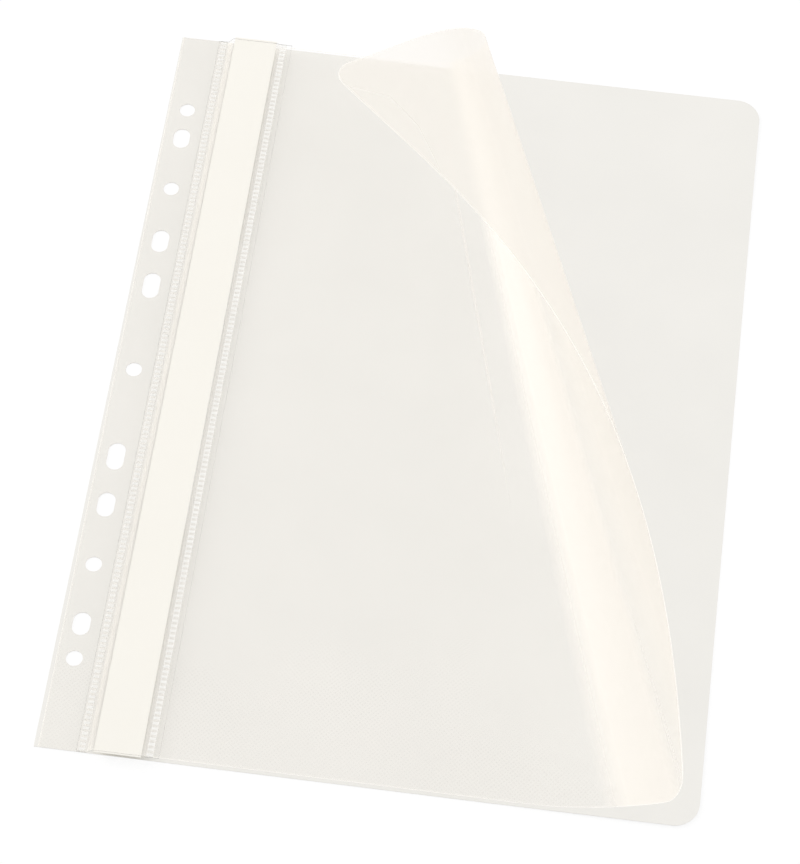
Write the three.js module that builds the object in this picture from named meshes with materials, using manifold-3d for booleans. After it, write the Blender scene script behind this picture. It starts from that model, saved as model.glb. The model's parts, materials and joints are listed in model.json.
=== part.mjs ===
// A4 report file: a white back cover with a perforated filing edge, a clear front cover that is curled
// over from its upper corner, a label strip in a clear pocket on the spine, and a prong fastener inside.
// Millimetres. +X runs from the filing edge to the free edge, +Y up the page, +Z out of the front.
// The origin is the middle of the back cover's underside.
import * as THREE from 'three';
import { mergeVertices } from 'three/addons/utils/BufferGeometryUtils.js';
import Module from 'manifold-3d';

const wasm = await Module();
wasm.setup();

// Covers
const coverLength = 310;
const coverWidth = 233;
const cornerRadius = 9;
const backFilm = 0.3;
const frontFilm = 0.2;
const frontLength = 308.6;
const frontShift = -0.3;
const frontOverhang = 1.5;

// Filing edge: one hole is in the middle of the row, and the other places are measured from it, up and down
const holeLine = 7.8;
const holeDiameter = 6;
const innerHolePlace = 82.35;
const outerHolePlace = 120;
const slotWidth = 6.4;
const innerSlotPlace = 37.5;
const innerSlotLength = 11.3;
const middleSlotPlace = 57.8;
const middleSlotLength = 10;
const outerSlotPlace = 106.3;
const outerSlotLength = 9;
const marginInsetTop = 0.4;
const marginInsetBottom = 1.6;

// Spine, from the row of holes towards the free edge
const holesToPocket = 7.2;
const pocketFlange = 0.6;
const weldWidth = 2.7;
const weldRelief = 0.3;
const creaseLand = 0.7;
const creaseGap = 0.3;
const labelInset = 2.5;
const labelWidth = 16.7;
const labelPlay = 1.6;
const pocketEndFlange = 2;
const pocketFilm = 0.2;
const pocketRise = 1.2;

// Label strip
const labelPaper = 0.25;
const labelLength = 311.4;
const labelShift = 0.2;
const labelSlack = 0.1;

// Fastener
const paperMarginWidth = 12;
const prongPitch = 80;
const prongWidth = 4.4;
const prongSteel = 0.3;
const prongReach = 33;
const prongClearance = 0.4;
const prongSlack = 0.05;
const baseWidth = 14;
const baseLength = 130;
const baseThickness = 0.8;
const baseRecess = 0.45;
const barWidth = 12;
const barLength = 112;
const barThickness = 0.7;
const barEndRadius = 4;
const innerLoopPlace = 14;
const outerLoopPlace = 29;
const loopLength = 4;
const loopWall = 1.2;
const loopRoof = 0.25;
const coverClearance = 0.3;
const rampClearance = 0.2;

// Curl of the front cover: how far from the free edge the first and last bend lines meet its top and
// bottom edges (the last one leaves the sheet before the bottom), and how far the sheet turns over in all
const curlStartTop = 137;
const curlStartBottom = 60.4;
const curlEndTop = 27.9;
const curlEndBottom = -217.8;
const curlTurnDegrees = 166.4;
const curlSteadyShare = 0.3;
const curlFolds = 8;
const foldGap = 0.3;

// Places that follow from the sizes
const filingEdge = -coverWidth / 2;
const freeEdge = coverWidth / 2;
const holesX = filingEdge + holeLine;
const pocketStartX = holesX + holesToPocket;
const leftWeldX = pocketStartX + pocketFlange;
const creaseX = leftWeldX + weldWidth + creaseLand;
const labelX = creaseX + labelInset;
const rightWeldX = labelX + labelWidth + labelPlay;
const pocketEndX = rightWeldX + weldWidth + pocketEndFlange;
const fastenerX = creaseX + paperMarginWidth;
const rampEndX = labelX - rampClearance;
const baseTop = backFilm + baseThickness;
const barTop = baseTop + barThickness;
const prongTop = barTop + prongSlack + prongSteel;
const loopTop = prongTop + prongSlack + loopRoof;
const coverRest = loopTop + coverClearance;
const coverTop = coverRest + frontFilm;
const marginTop = backFilm + frontFilm;

const finishes = {
  whiteFilm: new THREE.MeshStandardMaterial({ color: 0xf0ece7, roughness: 0.55, metalness: 0 }),
  clearFilm: new THREE.MeshStandardMaterial({
    color: 0xf3f0eb,
    roughness: 0.3,
    metalness: 0,
    transparent: true,
    opacity: 0.35,
  }),
  paper: new THREE.MeshStandardMaterial({ color: 0xf8f4eb, roughness: 0.85, metalness: 0 }),
  plastic: new THREE.MeshStandardMaterial({ color: 0xf2f2ee, roughness: 0.4, metalness: 0 }),
  steel: new THREE.MeshStandardMaterial({ color: 0xb9bcc0, roughness: 0.35, metalness: 1 }),
};

const file = new THREE.Group();

// Adds a named piece to a group.
function addPiece(name, geometry, finish, group = file) {
  const mesh = new THREE.Mesh(geometry, finish);
  mesh.name = name;
  group.add(mesh);
}

// A flat plate from a plan outline, lying from the height low upwards.
function plate(outline, thickness, low) {
  const geometry = new THREE.ExtrudeGeometry(outline, {
    depth: thickness,
    bevelEnabled: false,
    curveSegments: 12,
  });
  return geometry.translate(0, 0, low);
}

// A strip that keeps one cross-section, given as [x, z] points, along a length of the spine.
function strip(section, length, middleY) {
  const shape = new THREE.Shape(section.map(([x, z]) => new THREE.Vector2(x, z)));
  const geometry = new THREE.ExtrudeGeometry(shape, { depth: length, bevelEnabled: false });
  return geometry.rotateX(Math.PI / 2).translate(0, middleY + length / 2, 0);
}

// The cross-section of a film: its lower side as [x, z] points, and the same line raised by its thickness.
function filmSection(lowerSide, thickness) {
  const upperSide = lowerSide.map(([x, z]) => [x, z + thickness]);
  return [...lowerSide, ...upperSide.reverse()];
}

function rectangle(x0, y0, x1, y1) {
  return new THREE.Shape([
    new THREE.Vector2(x0, y0),
    new THREE.Vector2(x1, y0),
    new THREE.Vector2(x1, y1),
    new THREE.Vector2(x0, y1),
  ]);
}

// A rectangle with rounded corners around a centre.
function roundedBar(centreX, width, length, radius) {
  const right = centreX + width / 2;
  const left = centreX - width / 2;
  const end = length / 2;
  const shape = new THREE.Shape();
  shape.moveTo(left + radius, -end);
  shape.absarc(right - radius, radius - end, radius, -Math.PI / 2, 0);
  shape.absarc(right - radius, end - radius, radius, 0, Math.PI / 2);
  shape.absarc(left + radius, end - radius, radius, Math.PI / 2, Math.PI);
  shape.absarc(left + radius, radius - end, radius, Math.PI, 1.5 * Math.PI);
  return shape;
}

// A closed geometry as a manifold-3d solid, and back.
function toSolid(geometry) {
  const bare = new THREE.BufferGeometry().setAttribute('position', geometry.getAttribute('position'));
  bare.setIndex(geometry.index);
  const merged = mergeVertices(bare, 1e-4);
  return new wasm.Manifold(
    new wasm.Mesh({
      numProp: 3,
      vertProperties: merged.getAttribute('position').array,
      triVerts: new Uint32Array(merged.index.array),
    }),
  );
}

function toGeometry(solid) {
  const mesh = solid.getMesh();
  const geometry = new THREE.BufferGeometry();
  geometry.setAttribute('position', new THREE.BufferAttribute(mesh.vertProperties, 3));
  geometry.setIndex(new THREE.BufferAttribute(mesh.triVerts, 1));
  geometry.computeVertexNormals();
  return geometry;
}

// The holes of the filing edge, as paths to cut from a plan outline.
function filingHoles() {
  const cuts = [];
  const addRound = (y) => {
    const hole = new THREE.Path();
    hole.absarc(holesX, y, holeDiameter / 2, 0, 2 * Math.PI);
    cuts.push(hole);
  };
  const addSlot = (y, length) => {
    const reach = (length - slotWidth) / 2;
    const slot = new THREE.Path();
    slot.absarc(holesX, y + reach, slotWidth / 2, 0, Math.PI);
    slot.absarc(holesX, y - reach, slotWidth / 2, Math.PI, 2 * Math.PI);
    cuts.push(slot);
  };
  addRound(0);
  for (const side of [-1, 1]) {
    addRound(side * innerHolePlace);
    addRound(side * outerHolePlace);
    addSlot(side * innerSlotPlace, innerSlotLength);
    addSlot(side * middleSlotPlace, middleSlotLength);
    addSlot(side * outerSlotPlace, outerSlotLength);
  }
  return cuts;
}

// A sheet's outline from a left edge to a right edge, with its two right corners rounded.
function sheetOutline(leftTop, leftBottom, right, top, bottom) {
  const shape = new THREE.Shape();
  shape.moveTo(leftTop, top);
  shape.lineTo(leftBottom, bottom);
  shape.absarc(right - cornerRadius, bottom + cornerRadius, cornerRadius, -Math.PI / 2, 0);
  shape.absarc(right - cornerRadius, top - cornerRadius, cornerRadius, 0, Math.PI / 2);
  return shape;
}

function addBackCover() {
  const half = coverLength / 2;
  const outline = sheetOutline(filingEdge, filingEdge, freeEdge, half, -half);
  outline.holes = filingHoles();
  addPiece('back_cover', plate(outline, backFilm, 0), finishes.whiteFilm);
}

// The parts of the front cover and of the pocket that are welded to the filing edge.
function addWeldedMargins() {
  const half = coverLength / 2;
  const end = creaseX - creaseGap / 2;
  const outline = new THREE.Shape([
    new THREE.Vector2(filingEdge + marginInsetTop, half),
    new THREE.Vector2(filingEdge + marginInsetBottom, -half),
    new THREE.Vector2(end, -half),
    new THREE.Vector2(end, half),
  ]);
  outline.holes = filingHoles();
  addPiece('front_cover_margin', plate(outline, frontFilm, backFilm), finishes.clearFilm);
  const weldTop = marginTop + pocketFilm + weldRelief;
  const section = [
    [pocketStartX, marginTop],
    [end, marginTop],
    [end, marginTop + pocketFilm],
    [leftWeldX + weldWidth, marginTop + pocketFilm],
    [leftWeldX + weldWidth, weldTop],
    [leftWeldX, weldTop],
    [leftWeldX, marginTop + pocketFilm],
    [pocketStartX, marginTop + pocketFilm],
  ];
  addPiece('label_pocket_margin', strip(section, coverLength, 0), finishes.clearFilm);
}

// The pocket's film on the cover: the side that climbs with it, the flat part over the label, and the
// part beyond, which steps down and is welded.
function addLabelPocket() {
  const start = creaseX + creaseGap / 2;
  const stepX = rightWeldX - pocketRise;
  const overLabel = coverTop + labelSlack + labelPaper + labelSlack;
  const side = [
    [start, marginTop],
    [rampEndX, overLabel],
  ];
  const flat = [
    [rampEndX, overLabel],
    [stepX, overLabel],
  ];
  const seam = [
    [stepX, overLabel],
    [rightWeldX, coverTop],
    [pocketEndX, coverTop],
    [pocketEndX, coverTop + pocketFilm],
    [rightWeldX + weldWidth, coverTop + pocketFilm],
    [rightWeldX + weldWidth, coverTop + pocketFilm + weldRelief],
    [rightWeldX, coverTop + pocketFilm + weldRelief],
    [rightWeldX, coverTop + pocketFilm],
    [stepX, overLabel + pocketFilm],
  ];
  addPiece('label_pocket_side', strip(filmSection(side, pocketFilm), coverLength, 0), finishes.clearFilm);
  addPiece('label_pocket', strip(filmSection(flat, pocketFilm), coverLength, 0), finishes.clearFilm);
  addPiece('label_pocket_seam', strip(seam, coverLength, 0), finishes.clearFilm);
}

function addLabelStrip() {
  const outline = rectangle(
    labelX,
    labelShift - labelLength / 2,
    labelX + labelWidth,
    labelShift + labelLength / 2,
  );
  addPiece('label_strip', plate(outline, labelPaper, coverTop + labelSlack), finishes.paper);
}

// How far along the curl, from 0 at its first bend line to 1 at its last, a share of the whole turn is
// reached: the bend is steady at first, and then eases off evenly to nothing.
function curlPlace(share) {
  const left = 1 - share;
  const easing = (1 - curlSteadyShare) / (1 + curlSteadyShare);
  if (left > easing) return (share * (1 + curlSteadyShare)) / 2;
  return 1 - Math.sqrt(left * (1 - curlSteadyShare * curlSteadyShare));
}

// A bend line of the curl in the flat sheet: a point on it at the top edge, and its direction upwards.
function bendLine(share) {
  const place = curlPlace(share);
  const half = coverLength / 2;
  const top = freeEdge - THREE.MathUtils.lerp(curlStartTop, curlEndTop, place);
  const bottom = freeEdge - THREE.MathUtils.lerp(curlStartBottom, curlEndBottom, place);
  const from = new THREE.Vector3(bottom, -half, 0);
  const to = new THREE.Vector3(top, half, 0);
  return { point: to, along: to.clone().sub(from).normalize() };
}

// The part of a convex outline that lies right (side 1) or left (side -1) of a bend line, past the gap.
function cutAlong(points, line, side) {
  const away = (p) => {
    const across = line.along.y * (p.x - line.point.x) - line.along.x * (p.y - line.point.y);
    return side * across - foldGap / 2;
  };
  const kept = [];
  points.forEach((p, i) => {
    const q = points[(i + 1) % points.length];
    const here = away(p);
    const next = away(q);
    if (here >= 0) kept.push(p);
    if (here * next < 0) kept.push(p.clone().lerp(q, here / (here - next)));
  });
  return kept;
}

// The front cover: a flat sheet with a climb at the crease, and strips that turn about the bend lines.
function addFrontCover() {
  const right = freeEdge + frontOverhang;
  const top = frontShift + frontLength / 2;
  const bottom = frontShift - frontLength / 2;
  const whole = sheetOutline(rampEndX, rampEndX, right, top, bottom).getPoints(6);
  const lines = [];
  for (let i = 0; i < curlFolds; i++) lines.push(bendLine((i + 0.5) / curlFolds));

  const panel = plate(new THREE.Shape(cutAlong(whole, lines[0], -1)), frontFilm, coverRest);
  const climb = [
    [creaseX + creaseGap / 2, backFilm],
    [rampEndX, coverRest],
    [pocketEndX, coverRest],
  ];
  const spine = strip(filmSection(climb, frontFilm), frontLength, frontShift);
  const joined = toSolid(spine).add(toSolid(panel));
  addPiece('front_cover', toGeometry(joined), finishes.clearFilm);

  let group = file;
  let parentPoint = new THREE.Vector3();
  const height = coverRest + frontFilm / 2;
  const turn = THREE.MathUtils.degToRad(curlTurnDegrees / curlFolds);
  lines.forEach((line, i) => {
    const pivotPoint = line.point.clone().setZ(height);
    const pivot = new THREE.Group();
    pivot.position.copy(pivotPoint).sub(parentPoint);
    pivot.quaternion.setFromAxisAngle(line.along, -turn);
    group.add(pivot);
    const inside = i + 1 < lines.length ? cutAlong(whole, lines[i + 1], -1) : whole;
    const outline = new THREE.Shape(cutAlong(inside, line, 1));
    const geometry = plate(outline, frontFilm, coverRest);
    geometry.translate(-pivotPoint.x, -pivotPoint.y, -pivotPoint.z);
    addPiece(`front_cover_curl_${i + 1}`, geometry, finishes.clearFilm, pivot);
    group = pivot;
    parentPoint = pivotPoint;
  });
}

function addFastenerBase() {
  const body = roundedBar(fastenerX, baseWidth, baseLength, barEndRadius);
  const room = prongWidth / 2 + prongClearance;
  for (const side of [-1, 1]) {
    const y = side * (prongPitch / 2 - prongSteel / 2);
    const reach = prongSteel / 2 + prongClearance;
    body.holes.push(rectangle(fastenerX - room, y - reach, fastenerX + room, y + reach));
  }
  const bar = toSolid(plate(body, baseThickness, backFilm));
  const channel = rectangle(fastenerX - room, -prongPitch / 2, fastenerX + room, prongPitch / 2);
  const cut = toSolid(plate(channel, backFilm + baseRecess, 0));
  addPiece('fastener_base', toGeometry(bar.subtract(cut)), finishes.plastic);
}

// One steel strip: its middle lies under the base, and its ends rise and fold inwards over the bar.
function addProngStrip() {
  const outer = prongPitch / 2;
  const tip = outer - prongReach;
  const inner = outer - prongSteel;
  const low = backFilm;
  const half = [
    [outer, low],
    [outer, prongTop],
    [tip, prongTop],
    [tip, prongTop - prongSteel],
    [inner, prongTop - prongSteel],
    [inner, low + prongSteel],
  ];
  const mirrored = half.map(([y, z]) => [-y, z]).reverse();
  const side = new THREE.Shape([...half, ...mirrored].map(([y, z]) => new THREE.Vector2(y, z)));
  const geometry = new THREE.ExtrudeGeometry(side, { depth: prongWidth, bevelEnabled: false });
  geometry.rotateX(Math.PI / 2).rotateZ(Math.PI / 2);
  geometry.translate(fastenerX - prongWidth / 2, 0, 0);
  addPiece('prong_strip', geometry, finishes.steel);
}

function addCompressorBar() {
  const plan = roundedBar(fastenerX, barWidth, barLength, barEndRadius);
  const room = prongWidth / 2 + prongClearance;
  for (const side of [-1, 1]) {
    const y = side * (prongPitch / 2 - prongSteel / 2);
    const reach = prongSteel / 2 + 2 * prongClearance;
    plan.holes.push(rectangle(fastenerX - room, y - reach, fastenerX + room, y + reach));
  }
  let bar = toSolid(plate(plan, barThickness, baseTop));
  const outer = room + loopWall;
  const section = [
    [fastenerX - outer, barTop - barThickness / 2],
    [fastenerX - room, barTop - barThickness / 2],
    [fastenerX - room, loopTop - loopRoof],
    [fastenerX + room, loopTop - loopRoof],
    [fastenerX + room, barTop - barThickness / 2],
    [fastenerX + outer, barTop - barThickness / 2],
    [fastenerX + outer, loopTop],
    [fastenerX - outer, loopTop],
  ];
  for (const side of [-1, 1]) {
    for (const place of [innerLoopPlace, outerLoopPlace]) {
      bar = bar.add(toSolid(strip(section, loopLength, side * place)));
    }
  }
  addPiece('compressor_bar', toGeometry(bar), finishes.plastic);
}

addBackCover();
addWeldedMargins();
addFastenerBase();
addProngStrip();
addCompressorBar();
addFrontCover();
addLabelPocket();
addLabelStrip();

export default file;
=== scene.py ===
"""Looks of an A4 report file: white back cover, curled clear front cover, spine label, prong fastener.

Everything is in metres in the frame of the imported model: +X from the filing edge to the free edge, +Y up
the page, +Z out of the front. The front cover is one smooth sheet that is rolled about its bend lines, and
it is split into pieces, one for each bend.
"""

import json
import logging
import math
from dataclasses import dataclass, field
from enum import Enum
from typing import Callable, Optional, Sequence

import bpy
import numpy as np
from mathutils import Matrix, Vector
from mathutils.geometry import delaunay_2d_cdt

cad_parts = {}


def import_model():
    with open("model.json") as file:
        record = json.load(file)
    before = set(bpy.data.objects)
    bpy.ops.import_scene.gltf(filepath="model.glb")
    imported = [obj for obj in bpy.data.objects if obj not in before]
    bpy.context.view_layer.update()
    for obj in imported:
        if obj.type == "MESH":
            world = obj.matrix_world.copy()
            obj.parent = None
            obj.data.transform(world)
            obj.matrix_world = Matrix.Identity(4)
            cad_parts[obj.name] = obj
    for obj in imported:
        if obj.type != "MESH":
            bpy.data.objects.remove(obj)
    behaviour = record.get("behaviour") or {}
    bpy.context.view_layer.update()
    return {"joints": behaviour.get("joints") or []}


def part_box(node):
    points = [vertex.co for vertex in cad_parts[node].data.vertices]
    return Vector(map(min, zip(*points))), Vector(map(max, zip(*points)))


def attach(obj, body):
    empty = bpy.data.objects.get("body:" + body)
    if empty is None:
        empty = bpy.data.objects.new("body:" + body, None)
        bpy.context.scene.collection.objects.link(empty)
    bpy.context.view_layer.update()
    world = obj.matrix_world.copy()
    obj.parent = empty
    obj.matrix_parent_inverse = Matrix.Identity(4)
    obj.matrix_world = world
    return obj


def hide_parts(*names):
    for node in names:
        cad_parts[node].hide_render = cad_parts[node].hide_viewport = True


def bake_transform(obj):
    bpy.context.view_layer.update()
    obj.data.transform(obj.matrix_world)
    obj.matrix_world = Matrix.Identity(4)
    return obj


LOG = logging.getLogger("report_file")

# Names of what the meshes carry for their finishes, and the value that marks a wall as a seam and no cut
# edge
PLACE = "flat_place"
WELD_AND_PAINTED_HAZE = "weld"
CUT = "cut_edge"
PAINTED_HIGHLIGHT_LINE = "painted_highlight_nearness"
EDGE = "edge_nearness"
SEAM = -1.0

# Space between two films that lie on each other, how far edges and the painted highlight line are traced
# into a film, the welded film's land beside the crease, and how many clear faces a ray may pass
LAYER_GAP = 0.00002
REACH = 0.01
CREASE_LAND = 0.0007
CLEAR_FACES = 24

# Points nearer to each other than the first are one point, and nothing is divided by less than the second
SAME_PLACE = 1e-7
TINY = 1e-12

# Where a Mix node has its two colours, and the colour that it puts out
MIX_INPUTS = (6, 7)
MIX_RESULT = 2
Socket = bpy.types.NodeSocket


class Body(Enum):
    """The bodies that pieces ride on."""

    BACK = "back"
    FRONT = "front"
    LABEL = "label"


class Slot(Enum):
    """The record's material slots."""

    SHEET = "white_film"
    CLEAR = "clear_film"
    POCKET = "pocket_film"
    PAPER = "label_paper"
    PLASTIC = "white_plastic"
    STEEL = "prong_steel"


# Node helpers


def new_material(name: str) -> tuple[bpy.types.Material, bpy.types.Node]:
    """Makes a material with a bare Principled shader.

    Args:
        name: the material's name.
    Returns:
        The material and its shader node.
    """
    material = bpy.data.materials.new(name)
    material.use_nodes = True
    shader = material.node_tree.nodes["Principled BSDF"]
    return material, shader


def add_node(tree: bpy.types.NodeTree, kind: str, **settings: object) -> bpy.types.Node:
    """Adds a node and sets its properties and its unlinked inputs.

    Args:
        tree: the node tree.
        kind: the node's type name.
        settings: properties by name, and inputs by their name with underscores for spaces.
    Returns:
        The node.
    """
    node = tree.nodes.new(kind)
    for key, value in settings.items():
        if hasattr(node, key):
            setattr(node, key, value)
        else:
            node.inputs[key.replace("_", " ")].default_value = value
    return node


def calculate(tree: bpy.types.NodeTree, operation: str, first: object, second: object) -> Socket:
    """Adds a Math node.

    Args:
        tree: the node tree.
        operation: what the node works out.
        first: its first socket or number.
        second: its second one.
    Returns:
        The result's socket.
    """
    node = tree.nodes.new("ShaderNodeMath")
    node.operation = operation
    for place, value in enumerate((first, second)):
        if isinstance(value, (int, float)):
            node.inputs[place].default_value = value
        else:
            tree.links.new(value, node.inputs[place])
    return node.outputs[0]


def remap(
    tree: bpy.types.NodeTree,
    value: Socket,
    low: float,
    high: float,
    start: float = 0.0,
    end: float = 1.0,
) -> Socket:
    """Maps a value between start and end onto the range from low to high, held beyond both.

    Args:
        tree: the node tree.
        value: the socket to map.
        low: the result at the start.
        high: the result at the end.
        start: where the range starts.
        end: where it ends.
    Returns:
        The mapped socket.
    """
    node = tree.nodes.new("ShaderNodeMapRange")
    node.inputs["From Min"].default_value = start
    node.inputs["From Max"].default_value = end
    node.inputs["To Min"].default_value = low
    node.inputs["To Max"].default_value = high
    tree.links.new(value, node.inputs["Value"])
    return node.outputs["Result"]


def mix_colours(tree: bpy.types.NodeTree, mask: Socket, first: object, second: object) -> Socket:
    """Mixes two colours, each a socket or three numbers, by the share of the second one.

    Args:
        tree: the node tree.
        mask: the share of the second colour.
        first: the colour where the mask is 0.
        second: the colour where it is 1.
    Returns:
        The mixed colour's socket.
    """
    mix = add_node(tree, "ShaderNodeMix", data_type="RGBA")
    tree.links.new(mask, mix.inputs[0])
    for place, colour in zip(MIX_INPUTS, (first, second)):
        if isinstance(colour, tuple):
            mix.inputs[place].default_value = (*colour, 1.0)
        else:
            tree.links.new(colour, mix.inputs[place])
    return mix.outputs[MIX_RESULT]


def seen_directly(tree: bpy.types.NodeTree) -> Socket:
    """1 for a ray from the camera, off a mirror or through glass, 0 for one that only carries light.

    Args:
        tree: the node tree.
    Returns:
        The result's socket.
    """
    path = tree.nodes.new("ShaderNodeLightPath")
    seen = calculate(tree, "MAXIMUM", path.outputs["Is Camera Ray"], path.outputs["Is Glossy Ray"])
    return calculate(tree, "MAXIMUM", seen, path.outputs["Is Transmission Ray"])


def new_group(
    name: str,
    inputs: Sequence[tuple[str, str, object]],
    outputs: Sequence[tuple[str, str]],
) -> tuple[bpy.types.NodeTree, bpy.types.Node, bpy.types.Node]:
    """Makes a shader node group with named sockets.

    Args:
        name: the group's name.
        inputs: name, socket type and default of each input.
        outputs: name and socket type of each output.
    Returns:
        The tree, its input node and its output node.
    """
    tree = bpy.data.node_groups.new(name, "ShaderNodeTree")
    for label, kind, default in inputs:
        socket = tree.interface.new_socket(label, in_out="INPUT", socket_type=kind)
        if default is not None:
            socket.default_value = default
    for label, kind in outputs:
        tree.interface.new_socket(label, in_out="OUTPUT", socket_type=kind)
    return tree, tree.nodes.new("NodeGroupInput"), tree.nodes.new("NodeGroupOutput")


@dataclass
class SharedEffects:
    """Node groups that several finishes use: two kinds of surface grain and cloudy colour."""

    cell_scatter: float = 0.45
    finer_cells: float = 2.3
    finer_threads: float = 1.3
    cloud_roughness: float = 0.55
    grain: bpy.types.NodeTree = field(init=False)
    linen: bpy.types.NodeTree = field(init=False)
    cloud: bpy.types.NodeTree = field(init=False)

    def __post_init__(self) -> None:
        """Builds each group once."""
        self.grain = self.build_grain()
        self.linen = self.build_linen()
        self.cloud = self.build_cloud()

    def build_grain(self) -> bpy.types.NodeTree:
        """A pebbled surface: rounded cells whose centres stand up, broken by a finer noise.

        Both read only the first two coordinates, because every piece is a thin sheet over X and Y.

        Returns:
            A group that puts out a normal and the height of the grain.
        """
        inputs = [
            ("Vector", "NodeSocketVector", None),
            ("Cells per Metre", "NodeSocketFloat", 900.0),
            ("Depth", "NodeSocketFloat", 0.00002),
            ("Strength", "NodeSocketFloat", 0.3),
        ]
        outputs = [("Normal", "NodeSocketVector"), ("Height", "NodeSocketFloat")]
        tree, source, sink = new_group("pebbled_grain", inputs, outputs)
        cells = add_node(tree, "ShaderNodeTexVoronoi", voronoi_dimensions="2D", Randomness=self.cell_scatter)
        fine = add_node(tree, "ShaderNodeTexNoise", noise_dimensions="2D", Detail=1.0)
        finer_scale = calculate(tree, "MULTIPLY", source.outputs["Cells per Metre"], self.finer_cells)
        for texture, scale in ((cells, source.outputs["Cells per Metre"]), (fine, finer_scale)):
            tree.links.new(source.outputs["Vector"], texture.inputs["Vector"])
            tree.links.new(scale, texture.inputs["Scale"])
        rounded = calculate(tree, "SUBTRACT", 1.0, cells.outputs["Distance"])
        broken = calculate(tree, "MULTIPLY", fine.outputs["Fac"], 0.5)
        self.raise_bump(tree, source, sink, calculate(tree, "ADD", rounded, broken))
        return tree

    def build_linen(self) -> bpy.types.NodeTree:
        """An embossed linen surface: the product of two waves, one along each axis, broken by noise.

        The high places are as far apart along both axes as the pitch, in rows along the diagonals.

        Returns:
            A group that puts out a normal and the height of the grain.
        """
        inputs = [
            ("Vector", "NodeSocketVector", None),
            ("Pitch", "NodeSocketFloat", 0.0017),
            ("Depth", "NodeSocketFloat", 0.00002),
            ("Strength", "NodeSocketFloat", 0.3),
        ]
        outputs = [("Normal", "NodeSocketVector"), ("Height", "NodeSocketFloat")]
        tree, source, sink = new_group("linen_grain", inputs, outputs)
        parts = tree.nodes.new("ShaderNodeSeparateXYZ")
        tree.links.new(source.outputs["Vector"], parts.inputs["Vector"])
        turns = calculate(tree, "DIVIDE", 2 * math.pi, source.outputs["Pitch"])
        waves = []
        for axis in ("X", "Y"):
            phase = calculate(tree, "MULTIPLY", parts.outputs[axis], turns)
            waves.append(calculate(tree, "SINE", phase, 0.0))
        fine = add_node(tree, "ShaderNodeTexNoise", noise_dimensions="2D", Detail=1.0)
        tree.links.new(source.outputs["Vector"], fine.inputs["Vector"])
        finer_scale = calculate(tree, "DIVIDE", self.finer_threads, source.outputs["Pitch"])
        tree.links.new(finer_scale, fine.inputs["Scale"])
        woven = calculate(tree, "MULTIPLY", waves[0], waves[1])
        self.raise_bump(tree, source, sink, calculate(tree, "ADD", woven, fine.outputs["Fac"]))
        return tree

    def raise_bump(
        self,
        tree: bpy.types.NodeTree,
        source: bpy.types.Node,
        sink: bpy.types.Node,
        height: Socket,
    ) -> None:
        """Ends a grain group: puts out a height, and the normal of a bump of that height.

        Args:
            tree: the group's tree.
            source: its input node.
            sink: its output node.
            height: the height's socket.
        """
        bump = tree.nodes.new("ShaderNodeBump")
        tree.links.new(height, bump.inputs["Height"])
        tree.links.new(source.outputs["Depth"], bump.inputs["Distance"])
        tree.links.new(source.outputs["Strength"], bump.inputs["Strength"])
        tree.links.new(bump.outputs["Normal"], sink.inputs["Normal"])
        tree.links.new(height, sink.inputs["Height"])

    def build_cloud(self) -> bpy.types.NodeTree:
        """Two colours mixed by soft clouds of noise.

        Returns:
            A group that puts out the colour and the mask of the clouds.
        """
        inputs = [
            ("Vector", "NodeSocketVector", None),
            ("Clouds per Metre", "NodeSocketFloat", 30.0),
            ("Dark", "NodeSocketColor", (0.8, 0.8, 0.8, 1.0)),
            ("Light", "NodeSocketColor", (0.9, 0.9, 0.9, 1.0)),
        ]
        outputs = [("Color", "NodeSocketColor"), ("Mask", "NodeSocketFloat")]
        tree, source, sink = new_group("cloudy_colour", inputs, outputs)
        noise = add_node(tree, "ShaderNodeTexNoise", noise_dimensions="2D", Detail=2.0)
        noise.inputs["Roughness"].default_value = self.cloud_roughness
        tree.links.new(source.outputs["Vector"], noise.inputs["Vector"])
        tree.links.new(source.outputs["Clouds per Metre"], noise.inputs["Scale"])
        mixed = mix_colours(tree, noise.outputs["Fac"], source.outputs["Dark"], source.outputs["Light"])
        tree.links.new(mixed, sink.inputs["Color"])
        tree.links.new(noise.outputs["Fac"], sink.inputs["Mask"])
        return tree


def use_group(
    tree: bpy.types.NodeTree,
    group: bpy.types.NodeTree,
    vector: Socket,
    **values: object,
) -> bpy.types.Node:
    """Places a shared effect in a material.

    Args:
        tree: the material's node tree.
        group: the shared node group.
        vector: the coordinates that the pattern follows.
        values: inputs by their name with underscores for spaces.
    Returns:
        The group node.
    """
    node = tree.nodes.new("ShaderNodeGroup")
    node.node_tree = group
    tree.links.new(vector, node.inputs["Vector"])
    for key, value in values.items():
        node.inputs[key.replace("_", " ")].default_value = value
    return node


def coordinates(tree: bpy.types.NodeTree, on_sheet: bool) -> Socket:
    """The flat place on the sheet, which the rolled pieces carry, or else Object coordinates.

    Args:
        tree: the material's node tree.
        on_sheet: whether it is the flat place.
    Returns:
        The coordinates' socket.
    """
    if on_sheet:
        return add_node(tree, "ShaderNodeAttribute", attribute_name=PLACE).outputs["Vector"]
    return tree.nodes.new("ShaderNodeTexCoord").outputs["Object"]


def strength_of(tree: bpy.types.NodeTree, attribute: str) -> Socket:
    """The value of a number that a mesh carries, from 0 to 1."""
    return add_node(tree, "ShaderNodeAttribute", attribute_name=attribute).outputs["Fac"]


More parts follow.
